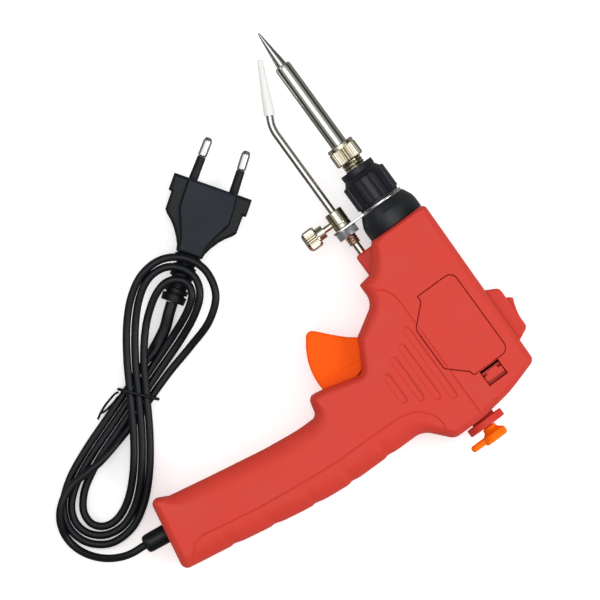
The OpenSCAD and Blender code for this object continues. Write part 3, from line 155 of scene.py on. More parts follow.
# faces round a tube, with an end face each unless it shuts into a ring
def tubeFaces(rows, sides, isRing=False):
    faces = [(a, d, c, b) for a, b, c, d in gridFaces(rows, sides, isRing)]
    if not isRing:
        faces.append(tuple(range(sides)))
        faces.append(tuple(reversed(range((rows - 1) * sides, rows * sides))))
    return faces


# rounds the corners of an open profile of (along, radius) pairs
def softened(profile, radius, steps=4):
    p = [np.array(q, float) for q in profile]
    out = [p[0]]
    for a, b, c in zip(p, p[1:], p[2:]):
        la, lc = np.linalg.norm(b - a), np.linalg.norm(c - b)
        if min(la, lc) < 1e-6:
            out.append(b)
            continue
        u, v = (a - b) / la, (c - b) / lc
        angle = math.acos(max(-1, min(1, float(u @ v))))
        if angle > math.radians(172):  # nearly straight, so it has no corner
            out.append(b)
            continue
        cut = min(radius / math.tan(angle / 2), 0.45 * la, 0.45 * lc)
        s, e = b + u * cut, b + v * cut
        for k in range(steps + 1):
            t = k / steps
            out.append((1 - t) ** 2 * s + 2 * t * (1 - t) * b + t * t * e)
    out.append(p[-1])
    return out


# A part turned about x. shape(x, angle, radius) gives a change of radius. A profile with both ends off
# the axis runs round a bore, so its last row meets its first.
def turnedParts(profile, sides=96, shape=None):
    angles = np.linspace(0, 2 * math.pi, sides, endpoint=False)
    points = []
    for x, r in profile:
        for a in angles:
            rr = r + (shape(x, a, r) if shape and r > 0.05 else 0)
            points.append((x, rr * math.cos(a), rr * math.sin(a)))
    isRing = min(profile[0][1], profile[-1][1]) > 0.2
    return np.array(points), tubeFaces(len(profile), sides, isRing)


# a tube along points; section is a list of (side, up) offsets, and twist(i) turns it
def sweptParts(path, section, upHint=(0, 0, 1), twist=None):
    p = np.asarray(path, float)
    t = np.empty_like(p)
    t[1:-1] = p[2:] - p[:-2]
    t[0], t[-1] = p[1] - p[0], p[-1] - p[-2]
    t /= np.linalg.norm(t, axis=1)[:, None]
    side = np.cross(np.array(upHint, float), t)
    side /= np.linalg.norm(side, axis=1)[:, None]
    up = np.cross(t, side)
    points = []
    for i in range(len(p)):
        a = twist(i) if twist else 0
        c, s = math.cos(a), math.sin(a)
        for u, v in section:
            points.append(p[i] + side[i] * (u * c - v * s) + up[i] * (u * s + v * c))
    return np.array(points), tubeFaces(len(p), len(section))


def circle(r, sides):
    a = np.linspace(0, 2 * math.pi, sides, endpoint=False)
    return np.stack([r * np.cos(a), r * np.sin(a)], 1)


# section of a flat two-core cord, w across and h high
def stadium(w, h, steps=9):
    r = w / 2
    section = []
    for middle, start in ((h / 2 - r, 0), (r - h / 2, math.pi)):
        for a in np.linspace(start, start + math.pi, steps):
            section.append((r * math.cos(a), middle + r * math.sin(a)))
    return section


# Catmull-Rom curve through the points, in even steps
def smoothPath(points, step):
    p = np.asarray(points, float)
    p = np.vstack([2 * p[0] - p[1], p, 2 * p[-1] - p[-2]])
    out = []
    for a, b, c, d in zip(p, p[1:], p[2:], p[3:]):
        count = max(2, int(np.linalg.norm(c - b) / step))
        for k in range(count):
            t = k / count
            bend = (2 * a - 5 * b + 4 * c - d) * t * t + (3 * b - a - 3 * c + d) * t**3
            out.append(0.5 * (2 * b + (c - a) * t + bend))
    out.append(p[-2])
    return np.array(out)


# twice the area of an outline, negative where it runs clockwise
def polyTurn(o):
    return float(np.sum(o[:, 0] * np.roll(o[:, 1], -1) - np.roll(o[:, 0], -1) * o[:, 1]))


# normals of a closed outline, to its left
def ringNormals(ring):
    t = np.roll(ring, -1, 0) - np.roll(ring, 1, 0)
    t /= np.linalg.norm(t, axis=1)[:, None]
    return np.stack([-t[:, 1], t[:, 0]], 1)


# a flat piece between two heights, with rounded edges
def slab(outline, low, high, soft=0.5, steps=3):
    o = np.array(outline, float)
    if polyTurn(o) < 0:
        o = o[::-1]
    o = o[np.linalg.norm(o - np.roll(o, 1, 0), axis=1) > 1e-4]
    d0, d1 = o - np.roll(o, 1, 0), np.roll(o, -1, 0) - o
    d0 /= np.linalg.norm(d0, axis=1)[:, None]
    d1 /= np.linalg.norm(d1, axis=1)[:, None]
    n0, n1 = np.stack([-d0[:, 1], d0[:, 0]], 1), np.stack([-d1[:, 1], d1[:, 0]], 1)
    inward = n0 + n1
    inward /= np.maximum(np.sum(inward * n0, axis=1), 0.35)[:, None]
    quarter = [math.pi / 2 * k / steps for k in range(steps + 1)]
    rings = [(soft * (1 - math.sin(a)), low + soft * (1 - math.cos(a))) for a in quarter]
    rings += [(soft * (1 - math.cos(a)), high - soft * (1 - math.sin(a))) for a in quarter]
    n, rows = len(o), len(rings)
    points = [np.column_stack([o + inward * inset, np.full(n, z)]) for inset, z in rings]
    faces = gridFaces(rows, n)
    faces.append(tuple(reversed(range(n))))
    faces.append(tuple(range((rows - 1) * n, rows * n)))
    return np.vstack(points), faces


def arc(cx, cy, r, a0, a1, steps):
    angles = np.radians(np.linspace(a0, a1, steps))
    return [(cx + r * math.cos(a), cy + r * math.sin(a)) for a in angles]


def turn2(v, degrees):
    c, s = math.cos(math.radians(degrees)), math.sin(math.radians(degrees))
    return (v[0] * c - v[1] * s, v[0] * s + v[1] * c)


def smoothStep(x):
    x = np.clip(x, 0, 1)
    return x * x * (3 - 2 * x)


# how far a rounded edge lies below the face, at a distance d from the outline
def edgeDrop(d, width, depth):
    t = np.clip(1 - d / width, 0, 1)
    return depth * (1 - np.sqrt(np.maximum(0, 1 - t * t)))


# materials


def linear(color):
    shares = [v / 255 for v in color]
    return [c / 12.92 if c <= 0.04045 else ((c + 0.055) / 1.055) ** 2.4 for c in shares]


# sets a node's inputs: a value that is another node's output is linked
def setInputs(tree, node, values):
    for name, value in values.items():
        if isinstance(value, bpy.types.NodeSocket):
            tree.links.new(value, node.inputs[name])
        else:
            node.inputs[name].default_value = value


def addNode(tree, kind, values=None, operation=None):
    node = tree.nodes.new("ShaderNode" + kind)
    if operation:
        node.operation = operation
    setInputs(tree, node, values or {})
    return node


def mixed(tree, share, first, second):
    return addNode(tree, "MixShader", {"Fac": share, 1: first, 2: second}).outputs["Shader"]


def newMaterial(name):
    mat = bpy.data.materials.new(name)
    mat.use_nodes = True
    return mat, mat.node_tree, mat.node_tree.nodes["Principled BSDF"]


# A moulded or metal surface with an uneven tone, an uneven gloss and a fine grain. grain is the height of
# the grain, grainSize its width, and brushed squeezes it along each axis.
def surface(
    name,
    color,
    rough,
    metallic=0.0,
    grain=0.0,
    grainSize=0.4,
    spread=0.03,
    roughSpread=0.06,
    specular=0.5,
    brushed=(1, 1, 1),
    glow=0.0,
):
    mat, tree, bsdf = newMaterial(name)
    place = addNode(tree, "TexCoord").outputs["Object"]
    place = addNode(tree, "Mapping", {"Vector": place, "Scale": brushed}).outputs["Vector"]
    broad = addNode(tree, "TexNoise", {"Vector": place, "Scale": 60, "Detail": 4}).outputs["Fac"]

    def between(low, high):
        values = {"Value": broad, "From Min": 0.3, "From Max": 0.7, "To Min": low, "To Max": high}
        return addNode(tree, "MapRange", values).outputs["Result"]

    tone = {0: linear(color), "Scale": between(1 - spread, 1 + spread)}
    values = {
        "Base Color": addNode(tree, "VectorMath", tone, "SCALE").outputs["Vector"],
        "Roughness": between(max(0.02, rough - roughSpread), rough + roughSpread),
        "Metallic": metallic,
        "Specular IOR Level": specular,
    }
    if glow:
        values["Subsurface Weight"] = glow
        values["Subsurface Radius"] = (1.0, 0.5, 0.25)
        values["Subsurface Scale"] = 0.002
    if grain:
        fine = addNode(tree, "TexNoise", {"Vector": place, "Scale": 1000 / grainSize, "Detail": 2})
        bump = {"Strength": 0.6, "Distance": grain * mm, "Height": fine.outputs["Fac"]}
        values["Normal"] = addNode(tree, "Bump", bump).outputs["Normal"]
    setInputs(tree, bsdf, values)
    return mat


finishes = {
    "redPlastic": {"color": (205, 56, 42), "rough": 0.5, "grain": 0.02, "grainSize": 0.35, "specular": 0.28},
    "orangePlastic": {"color": (255, 92, 3), "rough": 0.36, "grain": 0.008, "glow": 0.1, "specular": 0.06},
    "inletPlastic": {"color": (255, 117, 8), "rough": 0.4, "grain": 0.008, "glow": 0.2, "specular": 0.1},
    "blackPlastic": {"color": (26, 30, 35), "rough": 0.42, "grain": 0.02, "grainSize": 0.3, "specular": 0.35},
    "collarBlack": {"color": (26, 28, 35), "rough": 0.38, "grain": 0.02, "specular": 0.3},
    "cordRubber": {"color": (14, 17, 21), "rough": 0.4, "grain": 0.012, "grainSize": 0.5, "specular": 0.24},
    "plugSide": {"color": (15, 18, 22), "rough": 0.45, "grain": 0.02, "specular": 0.22},
    "plugPanel": {"color": (26, 33, 41), "rough": 0.5, "grain": 0.03, "grainSize": 0.3, "specular": 0.2},
    "nickelPlate": {
        "color": (205, 198, 178), "rough": 0.2, "metallic": 1, "grain": 0.004, "roughSpread": 0.05,
    },
    "steel": {"color": (190, 190, 188), "rough": 0.26, "metallic": 1, "grain": 0.004},
    "chrome": {
        "color": (205, 203, 196), "rough": 0.12, "metallic": 1, "grain": 0.0015, "roughSpread": 0.04,
        "brushed": (1, 12, 12),
    },
    "darkSteel": {"color": (206, 211, 215), "rough": 0.36, "metallic": 1, "grain": 0.004},
    "bitMetal": {
        "color": (180, 178, 174), "rough": 0.22, "metallic": 1, "grain": 0.004, "brushed": (1, 10, 10),
    },
    "whiteCeramic": {"color": (236, 236, 233), "rough": 0.4, "glow": 0.3, "spread": 0.01},
    "boardGreen": {"color": (34, 96, 52), "rough": 0.35, "grain": 0.004},
    "boltSteel": {"color": (176, 176, 172), "rough": 0.34, "metallic": 1, "grain": 0.006},
}
looks = {name: surface(name, **values) for name, values in finishes.items()}
print("materials made", flush=True)


# cord, hank and tie: heights here are above the floor

cordValues = {"width": 5.2, "thickness": 3.4, "step": 1.3, "flatTo": 14, "twistLength": 14}
leadRoute = [
    (-49.2, 167.5, 18), (-48.8, 171.2, 18), (-48.3, 177.5, 17.8), (-46.5, 183, 15.2), (-43, 188.5, 11.2),
    (-38, 193, 7), (-32.2, 195.8, 3.8), (-26, 196.6, 3.4), (-20.3, 195.3, 6.2), (-15.6, 192.4, 7.9),
    (-11.9, 188, 8.6), (-9.6, 183, 8.6), (-8.7, 177.5, 8.6), (-8.5, 172, 8.6), (-8.2, 166, 8.5),
    (-7, 160, 7.6), (-5.5, 154, 5.4), (-3.7, 147, 4.2), (-1.6, 139.2, 4.2),
]
endRoute = [
    (13.4, 131, 4.2), (15.1, 125.5, 4.2), (17.1, 119.5, 4.2), (19.6, 113.5, 4.5), (22.6, 108, 5.4),
    (26.1, 103.8, 6.5),
]
hankValues = {
    "waist": (6, 134.5), "angle": -50, "low": 63.5, "up": 56, "wide": 12.6, "pinch": 0.04, "lowBow": -5,
    "upBow": 5, "pitch": 3.5, "spread": 1.7, "loops": 3, "under": 4.2, "over": 10, "top": 14.4,
}
# where a turn strays from its even place: turn, middle and reach of the bend in degrees, and how far it goes
hankBends = [
    (0, 52, 24, 2.9), (0, 118, 26, -0.5), (1, 112, 26, 1.0), (1, 70, 18, 0.6), (2, 66, 24, 1.9),
    (2, 132, 22, -1.1), (2, 255, 22, -0.7), (0, 292, 24, 1.7), (1, 236, 18, -0.4),
]
plugValues = {
    "at": (60.3, 54.6), "angle": 124.5, "length": 32.2, "width": 35.8, "thickness": 13.7,
    "reliefLength": 21.8, "pinPitch": 18.6, "pinLean": 1.7, "pinLength": 19, "pinWidth": 4,
    "sleeveShare": 0.53,
}


# Place of the hank's strand in the plan, t degrees along it. bare gives the plain figure of eight, before
# the spacing of the strands, the bow of the hank and its place.
def hankPlan(t, bare=False):
    h = hankValues
    s = math.sin(math.radians(t))
    reach = h["low"] if s < 0 else h["up"]
    sway = math.sin(math.radians(2 * t)) - h["pinch"] * math.sin(math.radians(4 * t))
    p = (h["wide"] * reach / h["low"] * sway, reach * s)
    if bare:
        return p
    a, b = hankPlan(t - 0.5, True), hankPlan(t + 0.5, True)
    d = np.array([b[0] - a[0], b[1] - a[1]])
    d /= np.linalg.norm(d)
    shift = (h["pitch"] + h["spread"] * max(0, s) ** 2) * (h["loops"] / 2 - t / 360)
    for turn, middle, bendReach, far in hankBends:
        shift += far * math.exp(-(((t - 360 * turn - middle) / bendReach) ** 2))
    p = (p[0] + d[1] * shift, p[1] - d[0] * shift)
    q = turn2(p, -(h["lowBow"] if s < 0 else h["upBow"]) * s)
    r = turn2((q[1], -q[0]), h["angle"])
    return (h["waist"][0] + r[0], h["waist"][1] + r[1])


# height of the strand, m degrees into a turn
def hankHeight(m):
    under, over, top = (hankValues[k] for k in ("under", "over", "top"))
    rest = cordValues["width"] / 2
    stops = [
        (0, under), (17, under), (57, top), (115, top), (163, over), (197, over), (240, rest), (318, rest),
        (343, under), (360, under),
    ]
    for (start, low), (end, high) in zip(stops, stops[1:]):
        if m < end:
            return low + (high - low) * smoothStep((m - start) / (end - start))


def cordPath():
    turns = hankValues["loops"] * 360
    hank = [(*hankPlan(t), hankHeight(t % 360)) for t in np.arange(0, turns + 0.1, 15)]
    toRelief = turn2((plugValues["length"] + plugValues["reliefLength"] + 0.1, 0), plugValues["angle"])
    x, y = plugValues["at"]
    plugEnd = (x + toRelief[0], y + toRelief[1], plugValues["thickness"] / 2)
    path = smoothPath(leadRoute + hank + endRoute + [plugEnd], cordValues["step"])
    path[:, 2] -= halfW
    return path


def addCord():
    path = cordPath()
    t = cordValues

    # the cord stands on edge in the hank and lies flat where it meets the plug
    def lying(i):
        toPlug = (len(path) - 1 - i) * t["step"]
        return math.pi / 2 * (1 - float(smoothStep((toPlug - t["flatTo"]) / t["twistLength"])))

    part = sweptParts(path, stadium(t["thickness"], t["width"]), twist=lying)
    obj = addMesh("mainsCord", part, "cordRubber", 60)
    finishPiece(obj, "gun", "black_rubber", "cord_lead", "cord_hank", "cord_end")
    row = toRow(path)
    length = float(np.sum(np.linalg.norm(np.diff(row, axis=0), axis=1)))
    print("cord length", round(length, 4), flush=True)
    return obj, row, length


tieValues = {"wire": 1.3, "tail": 1.0, "step": 0.7}
tieHoop = [
    (-7.0, 13.5), (-8.5, 12.6), (-8.9, 10), (-8.9, 4), (-8.5, 1.5), (-7.2, 0.75), (7.2, 0.75), (8.5, 1.5),
    (8.9, 4), (8.9, 10), (8.5, 12.6), (7.0, 13.5), (-7.0, 13.5),
]
tieTails = [
    [
        (11.9, 141.2, 8.5), (12.1, 142.9, 7), (11.5, 145.6, 5), (10.6, 149, 3), (9.2, 152.4, 1.6),
        (7.5, 155.3, 0.9),
    ],
    [(10.3, 142.4, 7), (9.4, 145.4, 5), (8.8, 148.6, 3.2), (8.6, 150.8, 2.2), (8.9, 152.6, 1.6)],
]


def addTie():
    v = tieValues
    ring = []
    for across, z in tieHoop:
        r = turn2((0, -across), hankValues["angle"])
        ring.append((hankValues["waist"][0] + r[0], hankValues["waist"][1] + r[1], z - halfW))
    along = (*turn2((1, 0), hankValues["angle"]), 0.01)
    strands = [sweptParts(smoothPath(ring, v["step"]), circle(v["wire"] / 2, 12), along)]
    for tail in tieTails:
        line = smoothPath([(x, y, z - halfW) for x, y, z in tail], v["step"])
        strands.append(sweptParts(line, circle(v["tail"] / 2, 10)))
    return addPiece("cordTie", joined(strands), "cordRubber", "gun", "black_rubber", "cord_tie")


# sheets: the plan of a moulding filled with triangles, at heights that follow a rule


# distance of each point to each segment
def segmentDistance(p, a, b):
    out = np.empty((len(p), len(a)))
    d = b - a
    size = np.maximum(np.sum(d * d, 1), 1e-12)
    for i in range(0, len(p), 2000):
        rel = p[i : i + 2000][:, None, :] - a[None]
        t = np.clip(np.sum(rel * d[None], 2) / size[None], 0, 1)
        out[i : i + 2000] = np.linalg.norm(rel - t[:, :, None] * d[None], axis=2)
    return out


def isInside(p, poly):
    poly = np.asarray(poly, float)
    x, y = p[:, 0], p[:, 1]
    inside = np.zeros(len(p), bool)
    for (x0, y0), (x1, y1) in zip(poly, np.roll(poly, -1, 0)):
        if y0 != y1:
            inside ^= ((y0 > y) != (y1 > y)) & (x < (x1 - x0) * (y - y0) / (y1 - y0) + x0)
    return inside


def ringDistance(p, poly):
    poly = np.asarray(poly, float)
    return segmentDistance(p, poly, np.roll(poly, -1, 0)).min(1)


def polylineDistance(p, line):
    line = np.asarray(line, float)
    return segmentDistance(p, line[:-1], line[1:]).min(1)


# distance to an outline, negative outside it
def signedDepth(p, poly):
    d = ringDistance(p, poly)
    return np.where(isInside(p, poly), d, -d)


# Points along a polyline in even short steps, its corners kept. A third column is carried along.
def divided(poly, step, shut=True):
    poly = [np.array(q, float) for q in poly]
    out = []
    for a, b in zip(poly, poly[1:] + poly[:1] if shut else poly[1:]):
        count = max(1, int(math.ceil(np.linalg.norm((b - a)[:2]) / step)))
        for k in range(count):
            out.append(a + (b - a) * k / count)
    if not shut:
        out.append(poly[-1])
    return np.array(out)


# how far the extra rows of points lie from a line, from a hole and from the outline
sheetValues = {"lineStep": 0.45, "lineRows": (-0.45, -0.2, 0, 0.2, 0.45), "holeRows": (0.08, 0.2, 0.4)}
edgeRows = (0.05, 0.15, 0.35, 0.7, 1.2, 2, 3, 4.2, 5.6, 7)


# The top of a moulding. height(points, distance to the outline) gives z, and side is where its walls end.
# More points go beside the edge, the holes and the lines, where the height changes fast.
def sheetParts(outline, holes, height, step, lines, side=None, rim=edgeRows):
    edge = divided(outline, step * 0.9)
    rings = [divided(h, step * 0.6) for h in holes]
    x0, y0 = edge.min(0)
    x1, y1 = edge.max(0)
    gx, gy = np.meshgrid(np.arange(x0, x1, step), np.arange(y0, y1, step * 0.87))
    gx[::2] += step / 2
    pts = [np.stack([gx.ravel(), gy.ravel()], 1)]
    for line in lines:
        dense = divided(line, sheetValues["lineStep"], shut=False)
        t = np.gradient(dense, axis=0)
        t /= np.maximum(np.linalg.norm(t, axis=1), 1e-9)[:, None]
        normal = np.stack([-t[:, 1], t[:, 0]], 1)
        for o in sheetValues["lineRows"]:
            pts.append(dense + normal * o)
    for ring, widths in [(edge, rim)] + [(r, sheetValues["holeRows"]) for r in rings]:
        normal = ringNormals(ring)
        for o in widths:
            for s in (-1, 1):
                moved = ring + normal * o * s
                pts.append(moved[ringDistance(moved, ring) > 0.93 * o])
    pts = np.vstack(pts)
    keep = isInside(pts, edge) & (ringDistance(pts, edge) > 0.04)
    for r in rings:
        keep &= ~isInside(pts, r) & (ringDistance(pts, r) > 0.05)
    pts = np.unique(np.round(pts[keep], 2), axis=0)
    edges, start = [], 0
    for r in [edge] + rings:
        edges += [(start + i, start + (i + 1) % len(r)) for i in range(len(r))]
        start += len(r)
    flat = [Vector((float(a), float(b))) for a, b in np.vstack([edge] + rings + [pts])]
    made = delaunay_2d_cdt(flat, edges, [], 0, 1e-5)
    v = np.array([(q.x, q.y) for q in made[0]])
    tris = np.array([f for f in made[2] if len(f) == 3])
    centre = v[tris].mean(1)
    keep = isInside(centre, edge)
    for r in rings:
        keep &= ~isInside(centre, r)
    tris = tris[keep]
    a, b, c = v[tris[:, 0]], v[tris[:, 1]], v[tris[:, 2]]
    area = (b[:, 0] - a[:, 0]) * (c[:, 1] - a[:, 1]) - (b[:, 1] - a[:, 1]) * (c[:, 0] - a[:, 0])
    tris[area < 0] = tris[area < 0][:, ::-1]
    tris = tris[np.abs(area) > 1e-9]
    z = height(v, np.where(isInside(v, edge), ringDistance(v, edge), 0))
    top = (np.column_stack([v, z]), [tuple(f) for f in tris])
    if side is None:
        return top
    zEdge = height(edge, np.zeros(len(edge)))
    return joined([top, wallParts(edge, [zEdge, side])])


# upright strips round an outline between levels, from the top down
def wallParts(ring, levels, skip=None, insets=None):
    clockwise = polyTurn(ring) < 0
    inward = ringNormals(ring) * (-1 if clockwise else 1)
    n = len(ring)
    points = []
    for k, z in enumerate(levels):
        inset = insets[k] if insets else 0
        points.append(np.column_stack([ring + inward * inset, np.broadcast_to(z, n)]))
    faces = []
    for k in range(len(levels) - 1):
        for i in range(n):
            if skip and skip(i, k):
                continue
            j = (i + 1) % n
            f = (k * n + i, k * n + j, (k + 1) * n + j, (k + 1) * n + i)
            faces.append(f if clockwise else f[::-1])
    return np.vstack(points), faces


# plug

plugBodyValues = {
    "edgeWidth": 1.3, "edgeDepth": 2.2, "wing": 5.5, "wingSlope": 0.035, "panelEdge": 0.7, "step": 0.9,
}
reliefValues = {
    "ribs": 4, "rib": 5.2, "core": 4.2, "neck": 3.6, "collar": 6.1, "endCollar": 5.5, "endLength": 4.2,
    "flatness": 0.8,
}


# a part from the plug's own frame, x from the pins' face to the cord, into the gun's
def plugFrame(part):
    x, y = plugValues["at"]
    return shifted(part, (x, y, plugValues["thickness"] / 2 - halfW), math.radians(plugValues["angle"]))


# middle of each face of a plug piece, in the plug's own plan
def fromPlug(obj):
    c = np.array([p.center for p in obj.data.polygons]) / mm
    x = c[:, 0] + midX - plugValues["at"][0]
    y = c[:, 1] + midY - plugValues["at"][1]
    return np.stack(turn2((x, y), -plugValues["angle"]), 1)


def addPlugBody():
    w, n, t = plugValues["width"] / 2, plugValues["length"], plugValues["thickness"] / 2
    v = plugBodyValues
    outline = [
        (0.4, -w), (8.2, -w), (8.6, -16.5), (16.6, -16.4), (18.2, -15.2), (20.4, -12.6), (23, -10.3),
        (26.5, -8.0), (29.5, -6.5), (n, -5.9),
    ]
    outline += [(x, -y) for x, y in reversed(outline)]
    panel = [
        (0.2, -11.0), (8, -10.9), (14, -10.6), (20, -8.2), (26, -5.6), (n - 0.3, -4.6), (n - 0.3, 4.8),
        (26, 6.0), (20, 8.8), (14, 12.0), (8, 11.8), (0.2, 11.0),
    ]

    def height(p, d):
        wing = v["wing"] - v["wingSlope"] * np.abs(p[:, 1])
        rise = smoothStep(signedDepth(p, panel) / v["panelEdge"] + 0.5)
        return wing + (t - wing) * rise - edgeDrop(d, v["edgeWidth"], v["edgeDepth"])

    top = sheetParts(outline, [], height, v["step"], [panel], side=0.0)
    obj = addMesh("plugBody", plugFrame(joined([top, mirrored(top)])), "plugSide", 50)
    obj.data.materials.append(looks["plugPanel"])
    for poly, depth in zip(obj.data.polygons, signedDepth(fromPlug(obj), panel)):
        if depth > 0.25:  # well inside the raised panel
            poly.material_index = 1
    return finishPiece(obj, "gun", "black_plastic", "plug_body")


def addPlugPins():
    v = plugValues
    r, n = v["pinWidth"] / 2, v["pinLength"]
    share = n * v["sleeveShare"]
    sleeve = [(-share, 0), (-share, r - 0.1), (-3.2, r - 0.05), (-2.4, r), (0.6, r), (0.6, 0)]
    metal = [(-n, 0), (-n, r - 0.75), (1.6 - n, r), (-share - 0.05, r), (-share - 0.05, 0)]
    sleeves, pins = [], []
    for s in (-1, 1):
        place = (0, s * v["pinPitch"] / 2, 0), math.radians(s * v["pinLean"])
        sleeves.append(plugFrame(shifted(turnedParts(softened(sleeve, 0.25), 40), *place)))
        pins.append(plugFrame(shifted(turnedParts(softened(metal, 1.1, 6), 40), *place)))
    return [
        addPiece("pinSleeves", joined(sleeves), "plugSide", "gun", "black_plastic", "plug_sleeves"),
        addPiece("plugPins", joined(pins), "steel", "gun", "steel", "plug_pins"),
    ]


def addPlugRelief():
    v = reliefValues
    n = plugValues["length"]
    end = n + plugValues["reliefLength"]
    first = n + v["neck"]
    last = end - v["endLength"]
    step = (last - first) / v["ribs"]
    prof = [(n - 0.2, 0), (n - 0.2, 5.2), (n + 0.4, 5.2), (n + 0.5, v["collar"])]
    prof += [(first - 0.4, v["collar"] - 0.2)]
    for i in range(v["ribs"]):
        x = first + i * step
        prof += [(x, v["core"]), (x + 0.34 * step, v["core"])]
        prof += [(x + 0.4 * step, v["rib"]), (x + 0.96 * step, v["rib"])]
    prof += [(last, v["core"]), (last + 0.6, v["core"]), (last + 0.7, v["endCollar"])]
    prof += [(end - 0.1, v["endCollar"] - 0.3), (end, 0)]
    part = turnedParts(softened(prof, 0.3), 56)
    part[0][:, 2] *= v["flatness"]
    return addPiece("plugRelief", plugFrame(part), "plugSide", "gun", "black_rubber", "plug_relief")


# casing

casingValues = {
    "length": 90.4, "rise": 14.6, "reach": 163.3, "edgeWidth": 8.0, "edgeDepth": 7.0, "wall": 2.0,
    "step": 0.95, "grooveDepth": 0.5, "grooveHalf": 1.5, "lineDepth": 0.3, "lineHalf": 0.28,
    "padDrop": 0.18, "crease": 0.22, "valley": 0.5, "coverGap": 0.3, "openingSoft": 0.25,
}
# corners as shares of the casing: how far back and down, corner radius and width of the edge rounding
outlineShares = [
    (0, -1, 0.025, 0.38), (0.917, -0.918, 0.035, 0.38), (0.973, 0.018, 0.5, 0.38), (1, 0.122, 0.2, 0.38),
    (1, 0.21, 0.055, 0.5), (0.881, 0.269, 0.1, 1), (0.882, 0.52, 1.3, 1), (0.858, 0.637, 1.1, 1),
    (0.788, 0.86, 1.1, 1), (0.748, 1, 0.035, 0.38), (0.373, 0.963, 0.03, 0.25), (0.416, 0.916, 0.05, 1.0),
    (0.4535, 0.802, 0.9, 1.2), (0.504, 0.637, 0.9, 1.2), (0.524, 0.539, 0.7, 1.1), (0.524, 0.475, 0.035, 0.5),
    (0.423, 0.4617, 0.035, 0.38), (0.435, 0.4225, 0.015, 0.38), (0.489, 0.309, 0.035, 0.38),
    (0.33, 0.261, 0.01, 0.62), (0.237, 0.1764, 0.13, 0.62), (0.135, 0.1764, 0.009, 0.62),
    (0.1206, 0.1304, 0.055, 0.62), (0, 0.0833, 0.007, 0.19),
]
# height down the casing, front end and back end of each groove
grooves = [(23.8, -38.8, -76.2), (29.9, -43.3, -72.4), (36.0, -46.1, -68.7), (42.7, -50.2, -65.0)]
stepLine = [(-18, 24.6), (-19.2, 22.6), (-21.5, 20.6), (-24.8, 19.3), (-29, 18.9), (-88.4, 18.9)]
padLine = [
    (-86.4, 37.2), (-83.3, 34.6), (-78.5, 35.2), (-75.4, 37), (-72.4, 39.6), (-70.2, 43), (-68.9, 47.8),
    (-68.5, 63), (-68.5, 80), (-68, 89), (-67.2, 97.8), (-66.3, 106.5), (-64.5, 122.2), (-62.6, 133.1),
    (-61.1, 141.8), (-60, 148.4), (-61, 152.7), (-64.1, 156.1), (-66.9, 158.2),
]
padRegion = padLine + [(-74, 172), (-100, 172), (-100, 37.2)]
valleys = [62.2, 81.3, 100, 119.6, 138.7]
triggerPivot = (-36.97, 38.1)
# the opening for the trigger, round its pivot: radius, first and last degree, and its top
triggerSlot = {"radius": 31.2, "first": 24, "last": 136, "top": 8.4}
seam = {"height": 0.35, "depth": 0.22}


# a rounded outline in three columns, the third the width of the edge rounding at each point
def outlinePoints(shares, angleStep):
    v = casingValues
    c = []
    for back, down, radius, edge in shares:
        y = down * (v["rise"] if down < 0 else v["reach"])
        c.append((-back * v["length"], y, radius * v["length"], edge * v["edgeWidth"]))
    rows = []
    for i in range(len(c)):
        a, b, d = np.array(c[i - 1][:2]), np.array(c[i][:2]), np.array(c[(i + 1) % len(c)][:2])
        u, w = b - a, d - b
        lu, lw = np.linalg.norm(u), np.linalg.norm(w)
        u, w = u / lu, w / lw
        turn = math.atan2(u[0] * w[1] - u[1] * w[0], float(u @ w))
        cut = min(c[i][2] * math.tan(abs(turn) / 2), 0.45 * min(lu, lw))
        r = cut / math.tan(abs(turn) / 2)
        start = b - u * cut
        centre = start + (-1 if turn < 0 else 1) * r * np.array([-u[1], u[0]])
        steps = max(1, int(math.ceil(abs(math.degrees(turn)) / angleStep)))
        for k in range(steps + 1):
            t = k / steps
            q = turn2(start - centre, math.degrees(turn) * k / steps)
            rows.append((centre[0] + q[0], centre[1] + q[1], c[i - 1][3] * (1 - t) + c[i][3] * t))
    return np.array(rows)


# finger valleys along the back of the grip
def withValleys(points):
    p = points.copy()
    amount = np.zeros(len(p))
    for y in valleys:
        d = p[:, 1] - y
        amount += casingValues["valley"] * np.exp(-((d / np.where(d < 0, 2.6, 1.3)) ** 2))
    back = (p[:, 0] < -62) & (p[:, 1] > 52) & (p[:, 1] < 152)
    p[back] -= ringNormals(p)[back] * amount[back][:, None]
    return p


casingRows = divided(outlinePoints(outlineShares, 6), casingValues["step"])
casingOutline, casingWidths = withValleys(casingRows[:, :2]), casingRows[:, 2]


# width of the edge rounding at each point, from the parts of the outline that are near it
def localWidth(p):
    d = segmentDistance(p, casingOutline, np.roll(casingOutline, -1, 0))
    weight = np.exp(-(d - d.min(1)[:, None]) * 1.1)
    return (weight * casingWidths[None]).sum(1) / weight.sum(1)


# depth of a fine line along a polyline
def lineDrop(p, line):
    far = polylineDistance(p, line)
    return casingValues["lineDepth"] * (1 - smoothStep((far - 0.08) / casingValues["lineHalf"]))


def casingHeight(p, d, upper):
    v = casingValues
    flat = smoothStep((d - 0.6) / 1.5)  # nothing on the face at its edge, all of it further in
    z = halfW - edgeDrop(d, localWidth(p), v["edgeDepth"]) - flat * lineDrop(p, padLine)
    if not upper:
        return z
    z -= flat * lineDrop(p, stepLine)
    for y, xa, xb in grooves:
        xs = np.clip(p[:, 0], xb + v["grooveHalf"], xa - v["grooveHalf"])
        far = np.hypot(p[:, 0] - xs, p[:, 1] - y)
        z -= v["grooveDepth"] * (1 - smoothStep((far - v["grooveHalf"] + 0.35) / 0.7))
    back = signedDepth(p, padRegion)
    z -= v["padDrop"] * flat * smoothStep(back / 0.4 + 0.5)
    for y in valleys:
        far = polylineDistance(p, [(-84, y - 1.5), (-66, y + 1.8)])
        z -= v["crease"] * smoothStep(back / 1.2) * (1 - smoothStep((far - 0.5) / 2.6))
    return z


